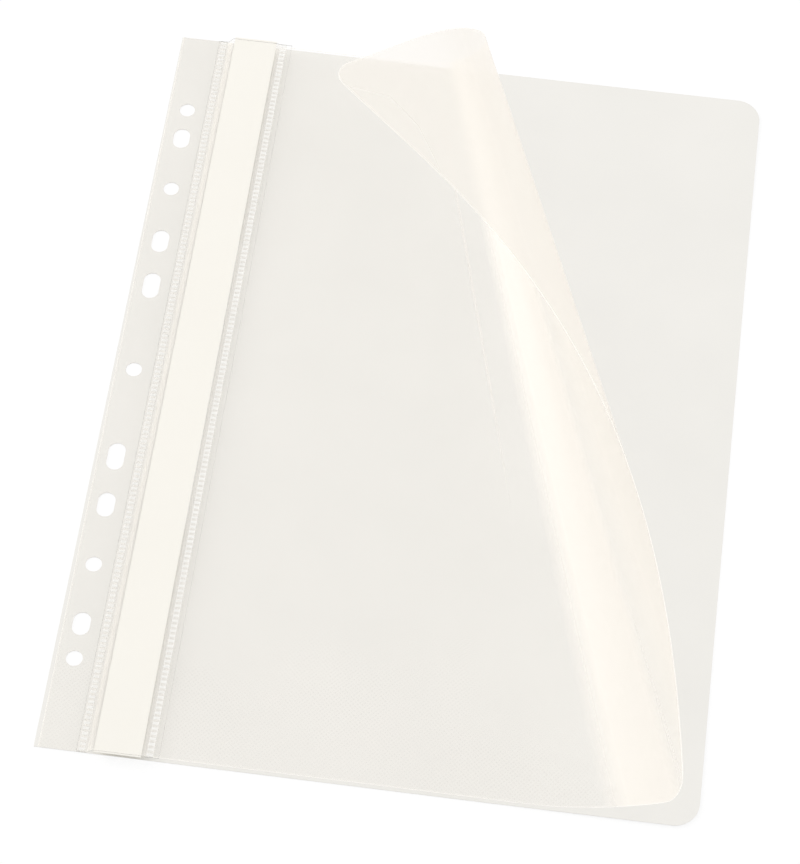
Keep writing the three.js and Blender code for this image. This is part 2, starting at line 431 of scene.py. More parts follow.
@dataclass(frozen=True)
class SatinFinish:
    """An opaque, finely grained surface: sheet plastic, moulded plastic or paper."""

    name: str
    dark: tuple[float, float, float]
    light: tuple[float, float, float]
    roughness: tuple[float, float]
    cells_per_metre: float
    grain_depth: float
    grain_strength: float
    clouds_per_metre: float = 25.0
    shine: float = 0.5
    on_sheet: bool = False

    def build(self, effects: SharedEffects) -> bpy.types.Material:
        """Makes the material from the shared effects.

        Args:
            effects: the shared node groups.
        Returns:
            The material.
        """
        material, shader = new_material(self.name)
        tree = material.node_tree
        vector = coordinates(tree, self.on_sheet)
        cloud = use_group(
            tree,
            effects.cloud,
            vector,
            Clouds_per_Metre=self.clouds_per_metre,
            Dark=(*self.dark, 1.0),
            Light=(*self.light, 1.0),
        )
        grain = use_group(
            tree,
            effects.grain,
            vector,
            Cells_per_Metre=self.cells_per_metre,
            Depth=self.grain_depth,
            Strength=self.grain_strength,
        )
        tree.links.new(cloud.outputs["Color"], shader.inputs["Base Color"])
        rough = remap(tree, cloud.outputs["Mask"], *self.roughness)
        tree.links.new(rough, shader.inputs["Roughness"])
        tree.links.new(grain.outputs["Normal"], shader.inputs["Normal"])
        shader.inputs["Specular IOR Level"].default_value = self.shine
        return material


@dataclass(frozen=True)
class SteelFinish:
    """Bright tinned steel, with drawn lines along the strip."""

    name: str
    colour: tuple[float, float, float] = (0.55, 0.56, 0.58)
    roughness: tuple[float, float] = (0.28, 0.42)
    lines_per_metre: float = 2500.0
    stretch: float = 0.03
    grain_depth: float = 0.00001

    def build(self, effects: SharedEffects) -> bpy.types.Material:
        """Makes the metal, whose roughness varies across the drawn lines.

        Args:
            effects: the shared node groups.
        Returns:
            The material.
        """
        material, shader = new_material(self.name)
        tree = material.node_tree
        turned = add_node(tree, "ShaderNodeMapping", Scale=(1.0, self.stretch, 1.0))
        tree.links.new(coordinates(tree, False), turned.inputs["Vector"])
        lines = add_node(tree, "ShaderNodeTexNoise", Scale=self.lines_per_metre, Detail=2.0)
        tree.links.new(turned.outputs["Vector"], lines.inputs["Vector"])
        grain = use_group(
            tree,
            effects.grain,
            turned.outputs["Vector"],
            Cells_per_Metre=self.lines_per_metre,
            Depth=self.grain_depth,
        )
        tree.links.new(remap(tree, lines.outputs["Fac"], *self.roughness), shader.inputs["Roughness"])
        tree.links.new(grain.outputs["Normal"], shader.inputs["Normal"])
        shader.inputs["Base Color"].default_value = (*self.colour, 1.0)
        shader.inputs["Metallic"].default_value = 1.0
        return material


@dataclass(frozen=True)
class ClearFinish:
    """Clear plastic sheet, seen as two thin veils, one on each face.

    A veil is fuller at a slant, along a cut edge and on a weld. Where the film faces half-way between the
    front and the low light from the left it is fuller still: a painted highlight, set by the normal against
    a fixed direction. Cut edges and rims take a painted edge line, a faintly glowing painted highlight on
    the clear film and painted shade on the pocket film. The grain's high places add painted glints towards
    the page's lower end, and a painted highlight line marks where the roll begins. For light that only
    passes through on its way to something else it is nearly clear, because a real clear sheet lets nearly
    all of it pass.
    """

    name: str
    colour: tuple[float, float, float] = (0.94, 0.888, 0.812)
    cloud_tone: float = 0.996
    clouds_per_metre: float = 14.0
    weld_colour: tuple[float, float, float] = (0.93, 0.925, 0.90)
    # Colour of the painted edge line along cut edges and rims: a painted highlight on the clear film,
    # painted shade on the pocket film
    painted_edge_line_colour: tuple[float, float, float] = (1.0, 0.97, 0.91)
    veil: float = 0.045
    slanted_veil: float = 0.48
    facing_share: float = 0.2
    slant_share: float = 0.55
    # Painted highlight: its veil, the fixed direction that the normal is held against, and where it sets in
    painted_glint_veil: float = 0.5
    painted_glint_way: tuple[float, float, float] = (-0.663, -0.196, 0.722)
    painted_glint_range: tuple[float, float] = (0.925, 0.987)
    cut_veil: float = 0.9
    rim_veil: float = 0.4
    rim_width: float = 0.0004
    # Strength of the painted glow along the rims
    rim_painted_glow: float = 0.12
    weld_veil: float = 0.7
    weld_roughness: float = 0.45
    # The painted highlight line where the roll begins: its veil, its width and its fade down the page
    bend_highlight_veil: float = 0.45
    bend_highlight_width: float = 0.0003
    bend_highlight_fade: tuple[float, float] = (-0.05, 0.01)
    # Painted glints on the embossed grain: their veil, least share outside patches, heights, patches and
    # fade towards the page's lower end
    painted_emboss_glint_veil: float = 0.04
    emboss_least: float = 0.3
    emboss_heights: tuple[float, float] = (0.75, 1.5)
    emboss_patches: tuple[float, float] = (0.42, 0.56)
    painted_emboss_glint_fade: tuple[float, float] = (-0.13, -0.06)
    passing_share: float = 0.12
    roughness: tuple[float, float] = (0.3, 0.38)
    grain_pitch: float = 0.0017
    grain_depth: float = 0.00003
    grain_strength: float = 0.05
    shine: float = 0.5

    def build(self, effects: SharedEffects) -> bpy.types.Material:
        """Makes the film from the shared effects and the marks that the mesh carries.

        Args:
            effects: the shared node groups.
        Returns:
            The material.
        """
        material, shader = new_material(self.name)
        tree = material.node_tree
        vector = coordinates(tree, True)
        cloud = use_group(
            tree,
            effects.cloud,
            vector,
            Clouds_per_Metre=self.clouds_per_metre,
            Dark=tuple(self.cloud_tone * c for c in self.colour) + (1.0,),
            Light=(*self.colour, 1.0),
        )
        grain = use_group(
            tree,
            effects.linen,
            vector,
            Pitch=self.grain_pitch,
            Depth=self.grain_depth,
            Strength=self.grain_strength,
        )
        # The weld mask also carries the painted haze that lifts the shade beside the label
        weld = strength_of(tree, WELD_AND_PAINTED_HAZE)
        cut = strength_of(tree, CUT)
        rim = remap(tree, strength_of(tree, EDGE), 0.0, 1.0, 1 - self.rim_width / REACH, 1.0)
        colour = mix_colours(tree, weld, cloud.outputs["Color"], self.weld_colour)
        # Cut edges and rims take the painted edge line's colour: a painted highlight on the clear film,
        # painted shade on the pocket film
        colour = mix_colours(tree, calculate(tree, "MAXIMUM", cut, rim), colour, self.painted_edge_line_colour)
        # The rims glow faintly in that colour: a painted highlight on a part that is no lamp
        glow = mix_colours(tree, rim, (0.0, 0.0, 0.0), self.painted_edge_line_colour)
        rough = remap(tree, cloud.outputs["Mask"], *self.roughness)
        rough = calculate(tree, "MAXIMUM", rough, remap(tree, weld, 0.0, self.weld_roughness))
        parts = tree.nodes.new("ShaderNodeSeparateXYZ")
        tree.links.new(vector, parts.inputs["Vector"])
        up_page = parts.outputs["Y"]
        # Painted glints where the grain stands high, in patches towards the page's lower end
        painted_glint_dots = self.painted_emboss_glints(tree, grain.outputs["Height"], cloud.outputs["Mask"], up_page)
        # Painted highlights: the line where the roll begins, and the band where the film faces a fixed
        # direction
        veils = [self.painted_bend_highlight(tree, up_page), self.painted_glint(tree)]
        for place, veil in ((weld, self.weld_veil), (rim, self.rim_veil), (cut, self.cut_veil)):
            veils.append(calculate(tree, "MULTIPLY", place, veil))
        off_seam = remap(tree, cut, 0.0, 1.0, SEAM, 0.0)
        cover = calculate(tree, "MULTIPLY", self.cover(tree, painted_glint_dots, veils), off_seam)
        tree.links.new(colour, shader.inputs["Base Color"])
        tree.links.new(rough, shader.inputs["Roughness"])
        tree.links.new(grain.outputs["Normal"], shader.inputs["Normal"])
        tree.links.new(cover, shader.inputs["Alpha"])
        tree.links.new(glow, shader.inputs["Emission Color"])
        shader.inputs["Emission Strength"].default_value = self.rim_painted_glow
        shader.inputs["Specular IOR Level"].default_value = self.shine
        return material

    def painted_emboss_glints(self, tree: bpy.types.NodeTree, height: Socket, mask: Socket, up_page: Socket) -> Socket:
        """Painted glints: what the grain's high places add to the veil, in patches, towards the page's lower
        end.

        Args:
            tree: the material's node tree.
            height: the height of the grain.
            mask: the mask of the clouds.
            up_page: the place along the page.
        Returns:
            The socket of what is added.
        """
        painted_glint_dots = remap(tree, height, 0.0, self.painted_emboss_glint_veil, *self.emboss_heights)
        painted_glint_dots = calculate(tree, "MULTIPLY", painted_glint_dots, remap(tree, up_page, 1.0, 0.0, *self.painted_emboss_glint_fade))
        patches = remap(tree, mask, self.emboss_least, 1.0, *self.emboss_patches)
        return calculate(tree, "MULTIPLY", painted_glint_dots, patches)

    def painted_bend_highlight(self, tree: bpy.types.NodeTree, up_page: Socket) -> Socket:
        """The veil of the painted highlight line on which the roll begins. It fades down the page.

        Args:
            tree: the material's node tree.
            up_page: the place along the page.
        Returns:
            The veil's socket.
        """
        off_highlight_line = calculate(tree, "SUBTRACT", strength_of(tree, PAINTED_HIGHLIGHT_LINE), 0.5)
        off_highlight_line = calculate(tree, "ABSOLUTE", off_highlight_line, 0.0)
        painted_bend_highlight = remap(tree, off_highlight_line, self.bend_highlight_veil, 0.0, 0.0, self.bend_highlight_width / (2 * REACH))
        return calculate(tree, "MULTIPLY", painted_bend_highlight, remap(tree, up_page, 0.0, 1.0, *self.bend_highlight_fade))

    def painted_glint(self, tree: bpy.types.NodeTree) -> Socket:
        """The painted highlight: a fuller veil where the film's normal faces a fixed direction. It sets in
        gently, as the square of a ramp.

        Args:
            tree: the material's node tree.
        Returns:
            The veil's socket.
        """
        toward = add_node(tree, "ShaderNodeVectorMath", operation="DOT_PRODUCT")
        tree.links.new(tree.nodes.new("ShaderNodeNewGeometry").outputs["Normal"], toward.inputs[0])
        toward.inputs[1].default_value = self.painted_glint_way
        ramp = remap(tree, toward.outputs["Value"], 0.0, 1.0, *self.painted_glint_range)
        return calculate(tree, "MULTIPLY", calculate(tree, "POWER", ramp, 2.0), self.painted_glint_veil)

    def cover(self, tree: bpy.types.NodeTree, painted_glint_dots: Socket, veils: list[Socket]) -> Socket:
        """How much one face of the film covers what is behind it.

        Args:
            tree: the material's node tree.
            painted_glint_dots: the painted glints that the embossed dots add.
            veils: how full the veil is at least, each for its own reason.
        Returns:
            The alpha socket.
        """
        slant = add_node(tree, "ShaderNodeLayerWeight", Blend=0.5).outputs["Facing"]
        veil = remap(tree, slant, self.veil, self.slanted_veil, self.facing_share, self.slant_share)
        veil = calculate(tree, "ADD", veil, painted_glint_dots)
        for least in veils:
            veil = calculate(tree, "MAXIMUM", veil, least)
        path = tree.nodes.new("ShaderNodeLightPath")
        carried = (path.outputs["Is Shadow Ray"], path.outputs["Is Diffuse Ray"])
        passing = calculate(tree, "MAXIMUM", *carried)
        return calculate(tree, "MULTIPLY", veil, remap(tree, passing, 1.0, self.passing_share))


# Mesh helpers


def mesh_object(
    name: str,
    points: np.ndarray,
    faces: list[list[int]],
    material: bpy.types.Material,
) -> bpy.types.Object:
    """Makes a smooth object from points and faces, with its place in its mesh.

    Args:
        name: the piece's name.
        points: the corners, in metres.
        faces: corner numbers of each face, anticlockwise from outside.
        material: the piece's finish.
    Returns:
        The object, linked to the scene.
    """
    mesh = bpy.data.meshes.new(name)
    mesh.from_pydata(points.tolist(), [], faces)
    mesh.materials.append(material)
    mesh.polygons.foreach_set("use_smooth", np.ones(len(mesh.polygons), bool))
    mesh.update()
    piece = bpy.data.objects.new(name, mesh)
    bpy.context.scene.collection.objects.link(piece)
    return piece


def unit(vectors: np.ndarray) -> np.ndarray:
    """Vectors of length 1 along the last axis."""
    return vectors / np.maximum(np.linalg.norm(vectors, axis=-1, keepdims=True), TINY)


def grid_of(x: np.ndarray, y: np.ndarray, z: np.ndarray | float) -> np.ndarray:
    """A grid of points from its three coordinates, each of which fits the others as an array."""
    return np.stack(np.broadcast_arrays(x, y, z), -1)


def grid_normals(grid: np.ndarray) -> np.ndarray:
    """Normals of a grid of points: the cross product of its slopes along both directions."""
    return unit(np.cross(np.gradient(grid, axis=0), np.gradient(grid, axis=1)))


def nearness(distance: np.ndarray) -> np.ndarray:
    """How near places are to a cut edge: 1 on the edge, falling evenly to 0 at the reach."""
    return np.clip(1 - distance / REACH, 0, 1)


def set_point_values(piece: bpy.types.Object, name: str, values: np.ndarray) -> None:
    """Stores a number, or a place, for every point of a piece. Values for one face stand for both.

    Args:
        piece: the piece.
        name: what its finish reads the values by.
        values: one for each point of the mesh, or of its upper face.
    """
    if 2 * len(values) == len(piece.data.vertices):
        values = np.concatenate([values, values])
    is_place = values.ndim == 2
    attribute = piece.data.attributes.new(name, "FLOAT_VECTOR" if is_place else "FLOAT", "POINT")
    attribute.data.foreach_set("vector" if is_place else "value", values.astype(np.float32).ravel())


def set_cut_faces(piece: bpy.types.Object, values: np.ndarray) -> None:
    """Stores for every face whether it is a cut edge, a seam or a part of the sheet's two sides."""
    attribute = piece.data.attributes.new(CUT, "FLOAT", "FACE")
    attribute.data.foreach_set("value", values.astype(np.float32))


@dataclass
class Shell:
    """A thin closed body between an upper and a lower grid of points, each of shape (across, along, 3)."""

    upper: np.ndarray
    lower: np.ndarray
    upper_normals: Optional[np.ndarray] = None
    lower_normals: Optional[np.ndarray] = None
    cut_sides: tuple[bool, bool, bool, bool] = (True, True, True, True)

    def build(self, name: str, material: bpy.types.Material) -> bpy.types.Object:
        """Joins both grids by four walls and sets the normals of every corner.

        The sides come in the order along-start, across-end, along-end, across-start. A side that isn't
        cut is a seam to the next piece of the same sheet.

        Args:
            name: the piece's name.
            material: the piece's finish.
        Returns:
            The object.
        """
        across, along = self.upper.shape[:2]
        shift = across * along
        index = np.arange(shift).reshape(across, along)
        top = np.stack([index[:-1, :-1], index[1:, :-1], index[1:, 1:], index[:-1, 1:]], -1).reshape(-1, 4)
        sides = (index[:, 0], index[-1, :], index[::-1, -1], index[0, ::-1])
        walls = [np.stack([s[:-1] + shift, s[1:] + shift, s[1:], s[:-1]], -1) for s in sides]
        faces = np.concatenate([top, top[:, ::-1] + shift, *walls])
        points = np.concatenate([self.upper.reshape(-1, 3), self.lower.reshape(-1, 3)])
        piece = mesh_object(name, points, faces.tolist(), material)
        self.set_normals(piece.data, points, faces, len(top))
        marks = [np.full(len(wall), 1.0 if cut else SEAM) for wall, cut in zip(walls, self.cut_sides)]
        set_cut_faces(piece, np.concatenate([np.zeros(2 * len(top)), *marks]))
        return piece

    def set_normals(
        self,
        mesh: bpy.types.Mesh,
        points: np.ndarray,
        faces: np.ndarray,
        top_count: int,
    ) -> None:
        """Gives both sides the normals of the smooth surface and each wall face its own.

        Args:
            mesh: the mesh.
            points: its corners.
            faces: its quads, the upper ones first, then the lower ones, then the walls.
            top_count: how many quads each side has.
        """
        up = grid_normals(self.upper) if self.upper_normals is None else self.upper_normals
        down = -grid_normals(self.lower) if self.lower_normals is None else self.lower_normals
        normals = np.concatenate([up.reshape(-1, 3), down.reshape(-1, 3)])
        corners = normals[faces]
        walls = points[faces[2 * top_count :]]
        flat = unit(np.cross(walls[:, 1] - walls[:, 0], walls[:, 3] - walls[:, 0]))
        corners[2 * top_count :] = flat[:, None, :]
        mesh.normals_split_custom_set(corners.reshape(-1, 3).tolist())


def arc(centre: tuple[float, float], radius: float, start: float, end: float, steps: int) -> np.ndarray:
    """Points on an arc from a start angle to an end angle, in degrees."""
    angles = np.radians(np.linspace(start, end, steps))
    return np.stack([centre[0] + radius * np.cos(angles), centre[1] + radius * np.sin(angles)], -1)


def divided(outline: np.ndarray, longest: float) -> np.ndarray:
    """A closed outline with extra points, evenly spread over each stretch that is too long.

    Args:
        outline: the outline's points.
        longest: the greatest length of a stretch.
    Returns:
        The outline with the extra points.
    """
    parts = []
    for here, there in zip(outline, np.roll(outline, -1, axis=0)):
        count = max(1, math.ceil(float(np.linalg.norm(there - here)) / longest))
        parts.append(here + (there - here) * np.arange(count)[:, None] / count)
    return np.concatenate(parts)


def inside(points: np.ndarray, outline: np.ndarray) -> np.ndarray:
    """Whether each point lies inside an outline: a ray to the right crosses it an odd number of times.

    Args:
        points: the points to test.
        outline: the closed outline.
    Returns:
        A truth value for each point.
    """
    x, y = points[:, 0, None], points[:, 1, None]
    ax, ay = outline[:, 0], outline[:, 1]
    bx, by = np.roll(ax, -1), np.roll(ay, -1)
    spans = (ay > y) != (by > y)
    rise = np.where(by == ay, TINY, by - ay)
    crossing = ax + (y - ay) * (bx - ax) / rise
    return (spans & (x < crossing)).sum(1) % 2 == 1


Height = Callable[[np.ndarray], np.ndarray]


@dataclass
class PlanSheet:
    """A sheet cut from a plan outline with holes: both faces are a height over the plan."""

    outline: np.ndarray
    holes: list[np.ndarray]
    low: Height
    high: Height
    spacing: float = 0.006
    sharp_angle: float = math.radians(40)

    def build(self, name: str, material: bpy.types.Material) -> bpy.types.Object:
        """Fills the outline with triangles, raises both faces and closes the rims.

        Args:
            name: the piece's name.
            material: the piece's finish.
        Returns:
            The object.
        """
        loops = [divided(self.outline, self.spacing), *self.holes]
        rim = np.concatenate(loops)
        steps = [np.arange(a + self.spacing, b, self.spacing) for a, b in zip(rim.min(0), rim.max(0))]
        grid = np.stack(np.meshgrid(*steps, indexing="ij"), -1).reshape(-1, 2)
        distance = np.linalg.norm(grid[:, None, :] - rim[None, :, :], axis=2).min(1)
        keep = inside(grid, loops[0]) & (distance > self.spacing / 2)
        for hole in self.holes:
            keep &= ~inside(grid, hole)
        plan = np.concatenate([rim, grid[keep]])
        edges = []
        start = 0
        for loop in loops:
            numbers = np.arange(start, start + len(loop))
            edges += np.stack([numbers, np.roll(numbers, -1)], -1).tolist()
            start += len(loop)
        found = delaunay_2d_cdt([Vector(p) for p in plan], edges, [], 1, SAME_PLACE)
        flat = np.array([tuple(p) for p in found[0]])
        triangles = np.array(found[2])
        for hole in self.holes:
            triangles = triangles[~inside(flat[triangles].mean(1), hole)]
        return self.close(name, flat, triangles, material)

    def close(
        self,
        name: str,
        flat: np.ndarray,
        triangles: np.ndarray,
        material: bpy.types.Material,
    ) -> bpy.types.Object:
        """Makes both faces from the filled plan, and walls along every edge that only one triangle has.

        Args:
            name: the piece's name.
            flat: the points of the plan.
            triangles: the point numbers of each triangle.
            material: the piece's finish.
        Returns:
            The object.
        """
        a, b, c = (flat[triangles[:, i]] for i in range(3))
        turned = np.cross(b - a, c - a) < 0
        triangles[turned] = triangles[turned][:, ::-1]
        sides = triangles[:, [0, 1, 1, 2, 2, 0]].reshape(-1, 2)
        _, where, counts = np.unique(np.sort(sides, axis=1), axis=0, return_inverse=True, return_counts=True)
        rim = sides[counts[where.ravel()] == 1]
        shift = len(flat)
        walls = np.stack([rim[:, 0] + shift, rim[:, 1] + shift, rim[:, 1], rim[:, 0]], -1)
        faces = triangles.tolist() + (triangles[:, ::-1] + shift).tolist() + walls.tolist()
        points = np.concatenate([np.column_stack([flat, side(flat)]) for side in (self.high, self.low)])
        piece = mesh_object(name, points, faces, material)
        piece.data.set_sharp_from_angle(angle=self.sharp_angle)
        set_point_values(piece, PLACE, points)
        set_cut_faces(piece, np.concatenate([np.zeros(2 * len(triangles)), np.ones(len(walls))]))
        return piece


def level(height: float) -> Height:
    """A flat face at one height."""
    return lambda plan: np.full(len(plan), height)


def smoothstep(t: np.ndarray) -> np.ndarray:
    """Eases from 0 to 1: 3 t squared less 2 t cubed, held at both ends."""
    t = np.clip(t, 0.0, 1.0)
    return t * t * (3 - 2 * t)


def dress(piece: bpy.types.Object, slot: Slot, *nodes: str) -> None:
    """Lets a piece stand for CAD nodes, whose solids it hides, and logs its size.

    Args:
        piece: the piece.
        slot: the record's slot for its finish; it is not used.
        nodes: the CAD nodes that it replaces, if any.
    """
    if nodes:
        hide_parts(*nodes)
    piece.data.calc_loop_triangles()
    LOG.info("%s: %d triangles", piece.name, len(piece.data.loop_triangles))


def settle(piece: bpy.types.Object, body: Body, slot: Slot, *nodes: str) -> None:
    """Lets a rigid piece ride on one body, and dresses it."""
    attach(piece, body.value)
    dress(piece, slot, *nodes)


# The file itself


@dataclass
class FilingEdge:
    """The row of holes along the filing edge. Places are measured from the middle hole, up and down."""

    line: float = 0.0078
    diameter: float = 0.006
    round_places: tuple[float, ...] = (0.08235, 0.12)
    slot_width: float = 0.0064
    slot_places: tuple[float, ...] = (0.0375, 0.0578, 0.1063)
    slot_lengths: tuple[float, ...] = (0.0113, 0.010, 0.009)
    arc_steps: int = 17

    def holes(self, edge: float) -> list[np.ndarray]:
        """The outlines of all holes.

        Args:
            edge: where the filing edge is.
        Returns:
            Closed outlines, each of two half circles, moved apart where it is a slot.
        """
        x = edge + self.line
        slots = tuple(zip(self.slot_places, self.slot_lengths))
        cuts = [self.hole(x, 0.0, self.diameter, self.diameter)]
        for side in (-1, 1):
            cuts += [self.hole(x, side * y, self.diameter, self.diameter) for y in self.round_places]
            cuts += [self.hole(x, side * y, self.slot_width, length) for y, length in slots]
        return cuts

    def hole(self, x: float, y: float, width: float, length: float) -> np.ndarray:
        """The outline of one hole.

        Args:
            x: its middle, across the edge.
            y: its middle, along the edge.
            width: its width across the edge.
            length: its length along the edge, more than the width for a slot.
        Returns:
            The outline's points.
        """
        radius = width / 2
        reach = (length - width) / 2
        upper = arc((x, y + reach), radius, 0, 180, self.arc_steps)
        lower = arc((x, y - reach), radius, 180, 360, self.arc_steps)
        ends = slice(None) if reach > 0 else slice(1, -1)
        return np.concatenate([upper, lower[ends]])


@dataclass
class SpineLines:
    """Lines across the spine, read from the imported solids."""

    filing_edge: float
    free_edge: float
    half_length: float
    back_top: float
    margin_top: float
    pocket_start: float
    weld_end: float
    crease: float
    rise_end: float
    cover_rest: float
    cover_top: float
    label_low: Vector
    label_high: Vector
    pocket_low: float
    pocket_top: float
    step_start: float
    seam_end: float

    @classmethod
    def from_frame(cls, joints: list[dict]) -> "SpineLines":
        """Reads each line from the box of the solid that it belongs to.

        Args:
            joints: the frame's joints, one of which is the crease.
        Returns:
            The lines.
        """
        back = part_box("back_cover")
        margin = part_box("front_cover_margin")
        pocket_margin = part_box("label_pocket_margin")
        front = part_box("front_cover")
        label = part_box("label_strip")
        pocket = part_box("label_pocket")
        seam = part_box("label_pocket_seam")
        hinge = next(j for j in joints if j["child"] == Body.FRONT.value)
        return cls(
            filing_edge=back[0].x,
            free_edge=back[1].x,
            half_length=back[1].y,
            back_top=back[1].z,
            margin_top=margin[1].z,
            pocket_start=pocket_margin[0].x,
            weld_end=hinge["pos_m"][0] - CREASE_LAND,
            crease=hinge["pos_m"][0],
            rise_end=pocket[0].x,
            cover_rest=front[1].z - (margin[1].z - margin[0].z),
            cover_top=front[1].z,
            label_low=label[0],
            label_high=label[1],
            pocket_low=pocket[0].z,
            pocket_top=pocket[1].z,
            step_start=seam[0].x,
            seam_end=seam[1].x,
        )


@dataclass
class BackCover:
    """The white back cover, with the margin of the front cover welded along its filing edge."""

    lines: SpineLines
    filing: FilingEdge
    corner_radius: float = 0.009
    corner_steps: int = 13
    margin_inset_top: float = 0.0004
    margin_inset_bottom: float = 0.0016
    margin_spacing: float = 0.004
    corner_lift: float = 0.0005
    lift_reach: float = 0.09

    def outline(self) -> np.ndarray:
        """The cover's outline: square corners at the filing edge and rounded ones at the free edge.

        Returns:
            The outline's points.
        """
        at = self.lines
        radius = self.corner_radius
        x, y = at.free_edge - radius, at.half_length - radius
        left = np.array([[at.filing_edge, at.half_length], [at.filing_edge, -at.half_length]])
        lower = arc((x, -y), radius, -90, 0, self.corner_steps)
        upper = arc((x, y), radius, 0, 90, self.corner_steps)
        return np.concatenate([left, lower, upper])

    def lift(self, plan: np.ndarray) -> np.ndarray:
        """How far the sheet stands off the table: it eases up towards both free corners.

        Args:
            plan: places over the table.
        Returns:
            A height for each.
        """
        at = self.lines
        corners = np.array([[at.free_edge, at.half_length], [at.free_edge, -at.half_length]])
        distance = np.linalg.norm(plan[:, None, :] - corners[None], axis=2).min(1)
        return self.corner_lift * smoothstep(1 - distance / self.lift_reach)

    def build(self, sheet: bpy.types.Material, film: bpy.types.Material) -> None:
        """Makes the cover and the welded margin of clear film.

        Args:
            sheet: the cover's finish.
            film: the margin's finish.
        """
        at = self.lines
        top = at.half_length
        holes = self.filing.holes(at.filing_edge)
        cover = PlanSheet(self.outline(), holes, self.lift, lambda p: at.back_top + self.lift(p))
        settle(cover.build("back_cover_sheet", sheet), Body.BACK, Slot.SHEET, "back_cover")
        upper_left = at.filing_edge + self.margin_inset_top
        lower_left = at.filing_edge + self.margin_inset_bottom
        margin = np.array([[upper_left, top], [lower_left, -top], [at.weld_end, -top], [at.weld_end, top]])
        low = level(at.back_top + LAYER_GAP)
        strip = PlanSheet(margin, holes, low, level(at.margin_top), spacing=self.margin_spacing)
        piece = strip.build("front_cover_margin_film", film)
        places = np.array([corner.co for corner in piece.data.vertices])
        slanted = np.interp(places[:, 1], [-top, top], [lower_left, upper_left])
        set_point_values(piece, EDGE, nearness(places[:, 0] - slanted))
        settle(piece, Body.BACK, Slot.CLEAR, "front_cover_margin")


@dataclass
class CreaseBand:
    """Where the films bend at the crease, and the gentle climb from the filing edge onto the front cover."""

    lines: SpineLines
    bend_half: float = 0.0004

    def climb(self, x: np.ndarray, end: float) -> np.ndarray:
        """The share of the climb reached at x: an eased step from the weld to a given end."""
        return smoothstep((x - self.lines.weld_end) / (end - self.lines.weld_end))

    def blend(self, piece: bpy.types.Object) -> None:
        """Bakes a film's place into its mesh.

        Args:
            piece: the film.
        """
        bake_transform(piece)


@dataclass
class Curl:
    """How the front cover is rolled: its bend lines in the flat sheet and the turn reached at each.

    The first and last bend lines meet the sheet's top and bottom lines at places given from the free edge.
    """

    lines: SpineLines
    start_top: float = 0.137
    start_bottom: float = 0.0604
    end_top: float = 0.0279
    end_bottom: float = -0.2178
    turn: float = math.radians(166.4)
    steady_share: float = 0.3
    bends: int = 8
    columns: int = 12
    fine_steps: int = 4

    def place(self, share: np.ndarray) -> np.ndarray:
        """Where a share of the turn is reached, from 0 at the first bend line to 1 at the last.

        The bend is steady for a while and then eases off evenly to nothing.

        Args:
            share: shares of the whole turn.
        Returns:
            A place between the two bend lines for each share.
        """
        steady = self.steady_share
        left = 1 - share
        eased = 1 - np.sqrt(np.maximum(left, 0) * (1 - steady * steady))
        return np.where(left > (1 - steady) / (1 + steady), share * (1 + steady) / 2, eased)

    def ruling(self, share: np.ndarray) -> tuple[np.ndarray, np.ndarray]:
        """The bend line on which a share of the turn is reached.

        Args:
            share: shares of the whole turn.
        Returns:
            The line's lower and upper end for each share, on the sheet's two end lines.
        """
        place = self.place(share)
        at = self.lines
        bottom = at.free_edge - (self.start_bottom + (self.end_bottom - self.start_bottom) * place)
        top = at.free_edge - (self.start_top + (self.end_top - self.start_top) * place)
        half = np.full_like(place, at.half_length)
        return np.stack([bottom, -half], -1), np.stack([top, half], -1)

    def turns(self) -> np.ndarray:
        """The matrices that roll the flat sheet, at every column of the bends.

        Each is the product of many small turns about the bend lines before it.

        Returns:
            An array of 4 by 4 matrices, the first one the unit matrix.
        """
        total = self.bends * self.columns * self.fine_steps
        bottoms, tops = self.ruling((np.arange(total) + 0.5) / total)
        height = (self.lines.cover_rest + self.lines.cover_top) / 2
        rolled = Matrix.Identity(4)
        found = [np.array(rolled)]
        for bottom, top in zip(bottoms, tops):
            point = Vector((*top, height))
            axis = (point - Vector((*bottom, height))).normalized()
            small = Matrix.Rotation(-self.turn / total, 4, axis)
            rolled = rolled @ Matrix.Translation(point) @ small @ Matrix.Translation(-point)
            found.append(np.array(rolled))
        return np.array(found)[:: self.fine_steps]


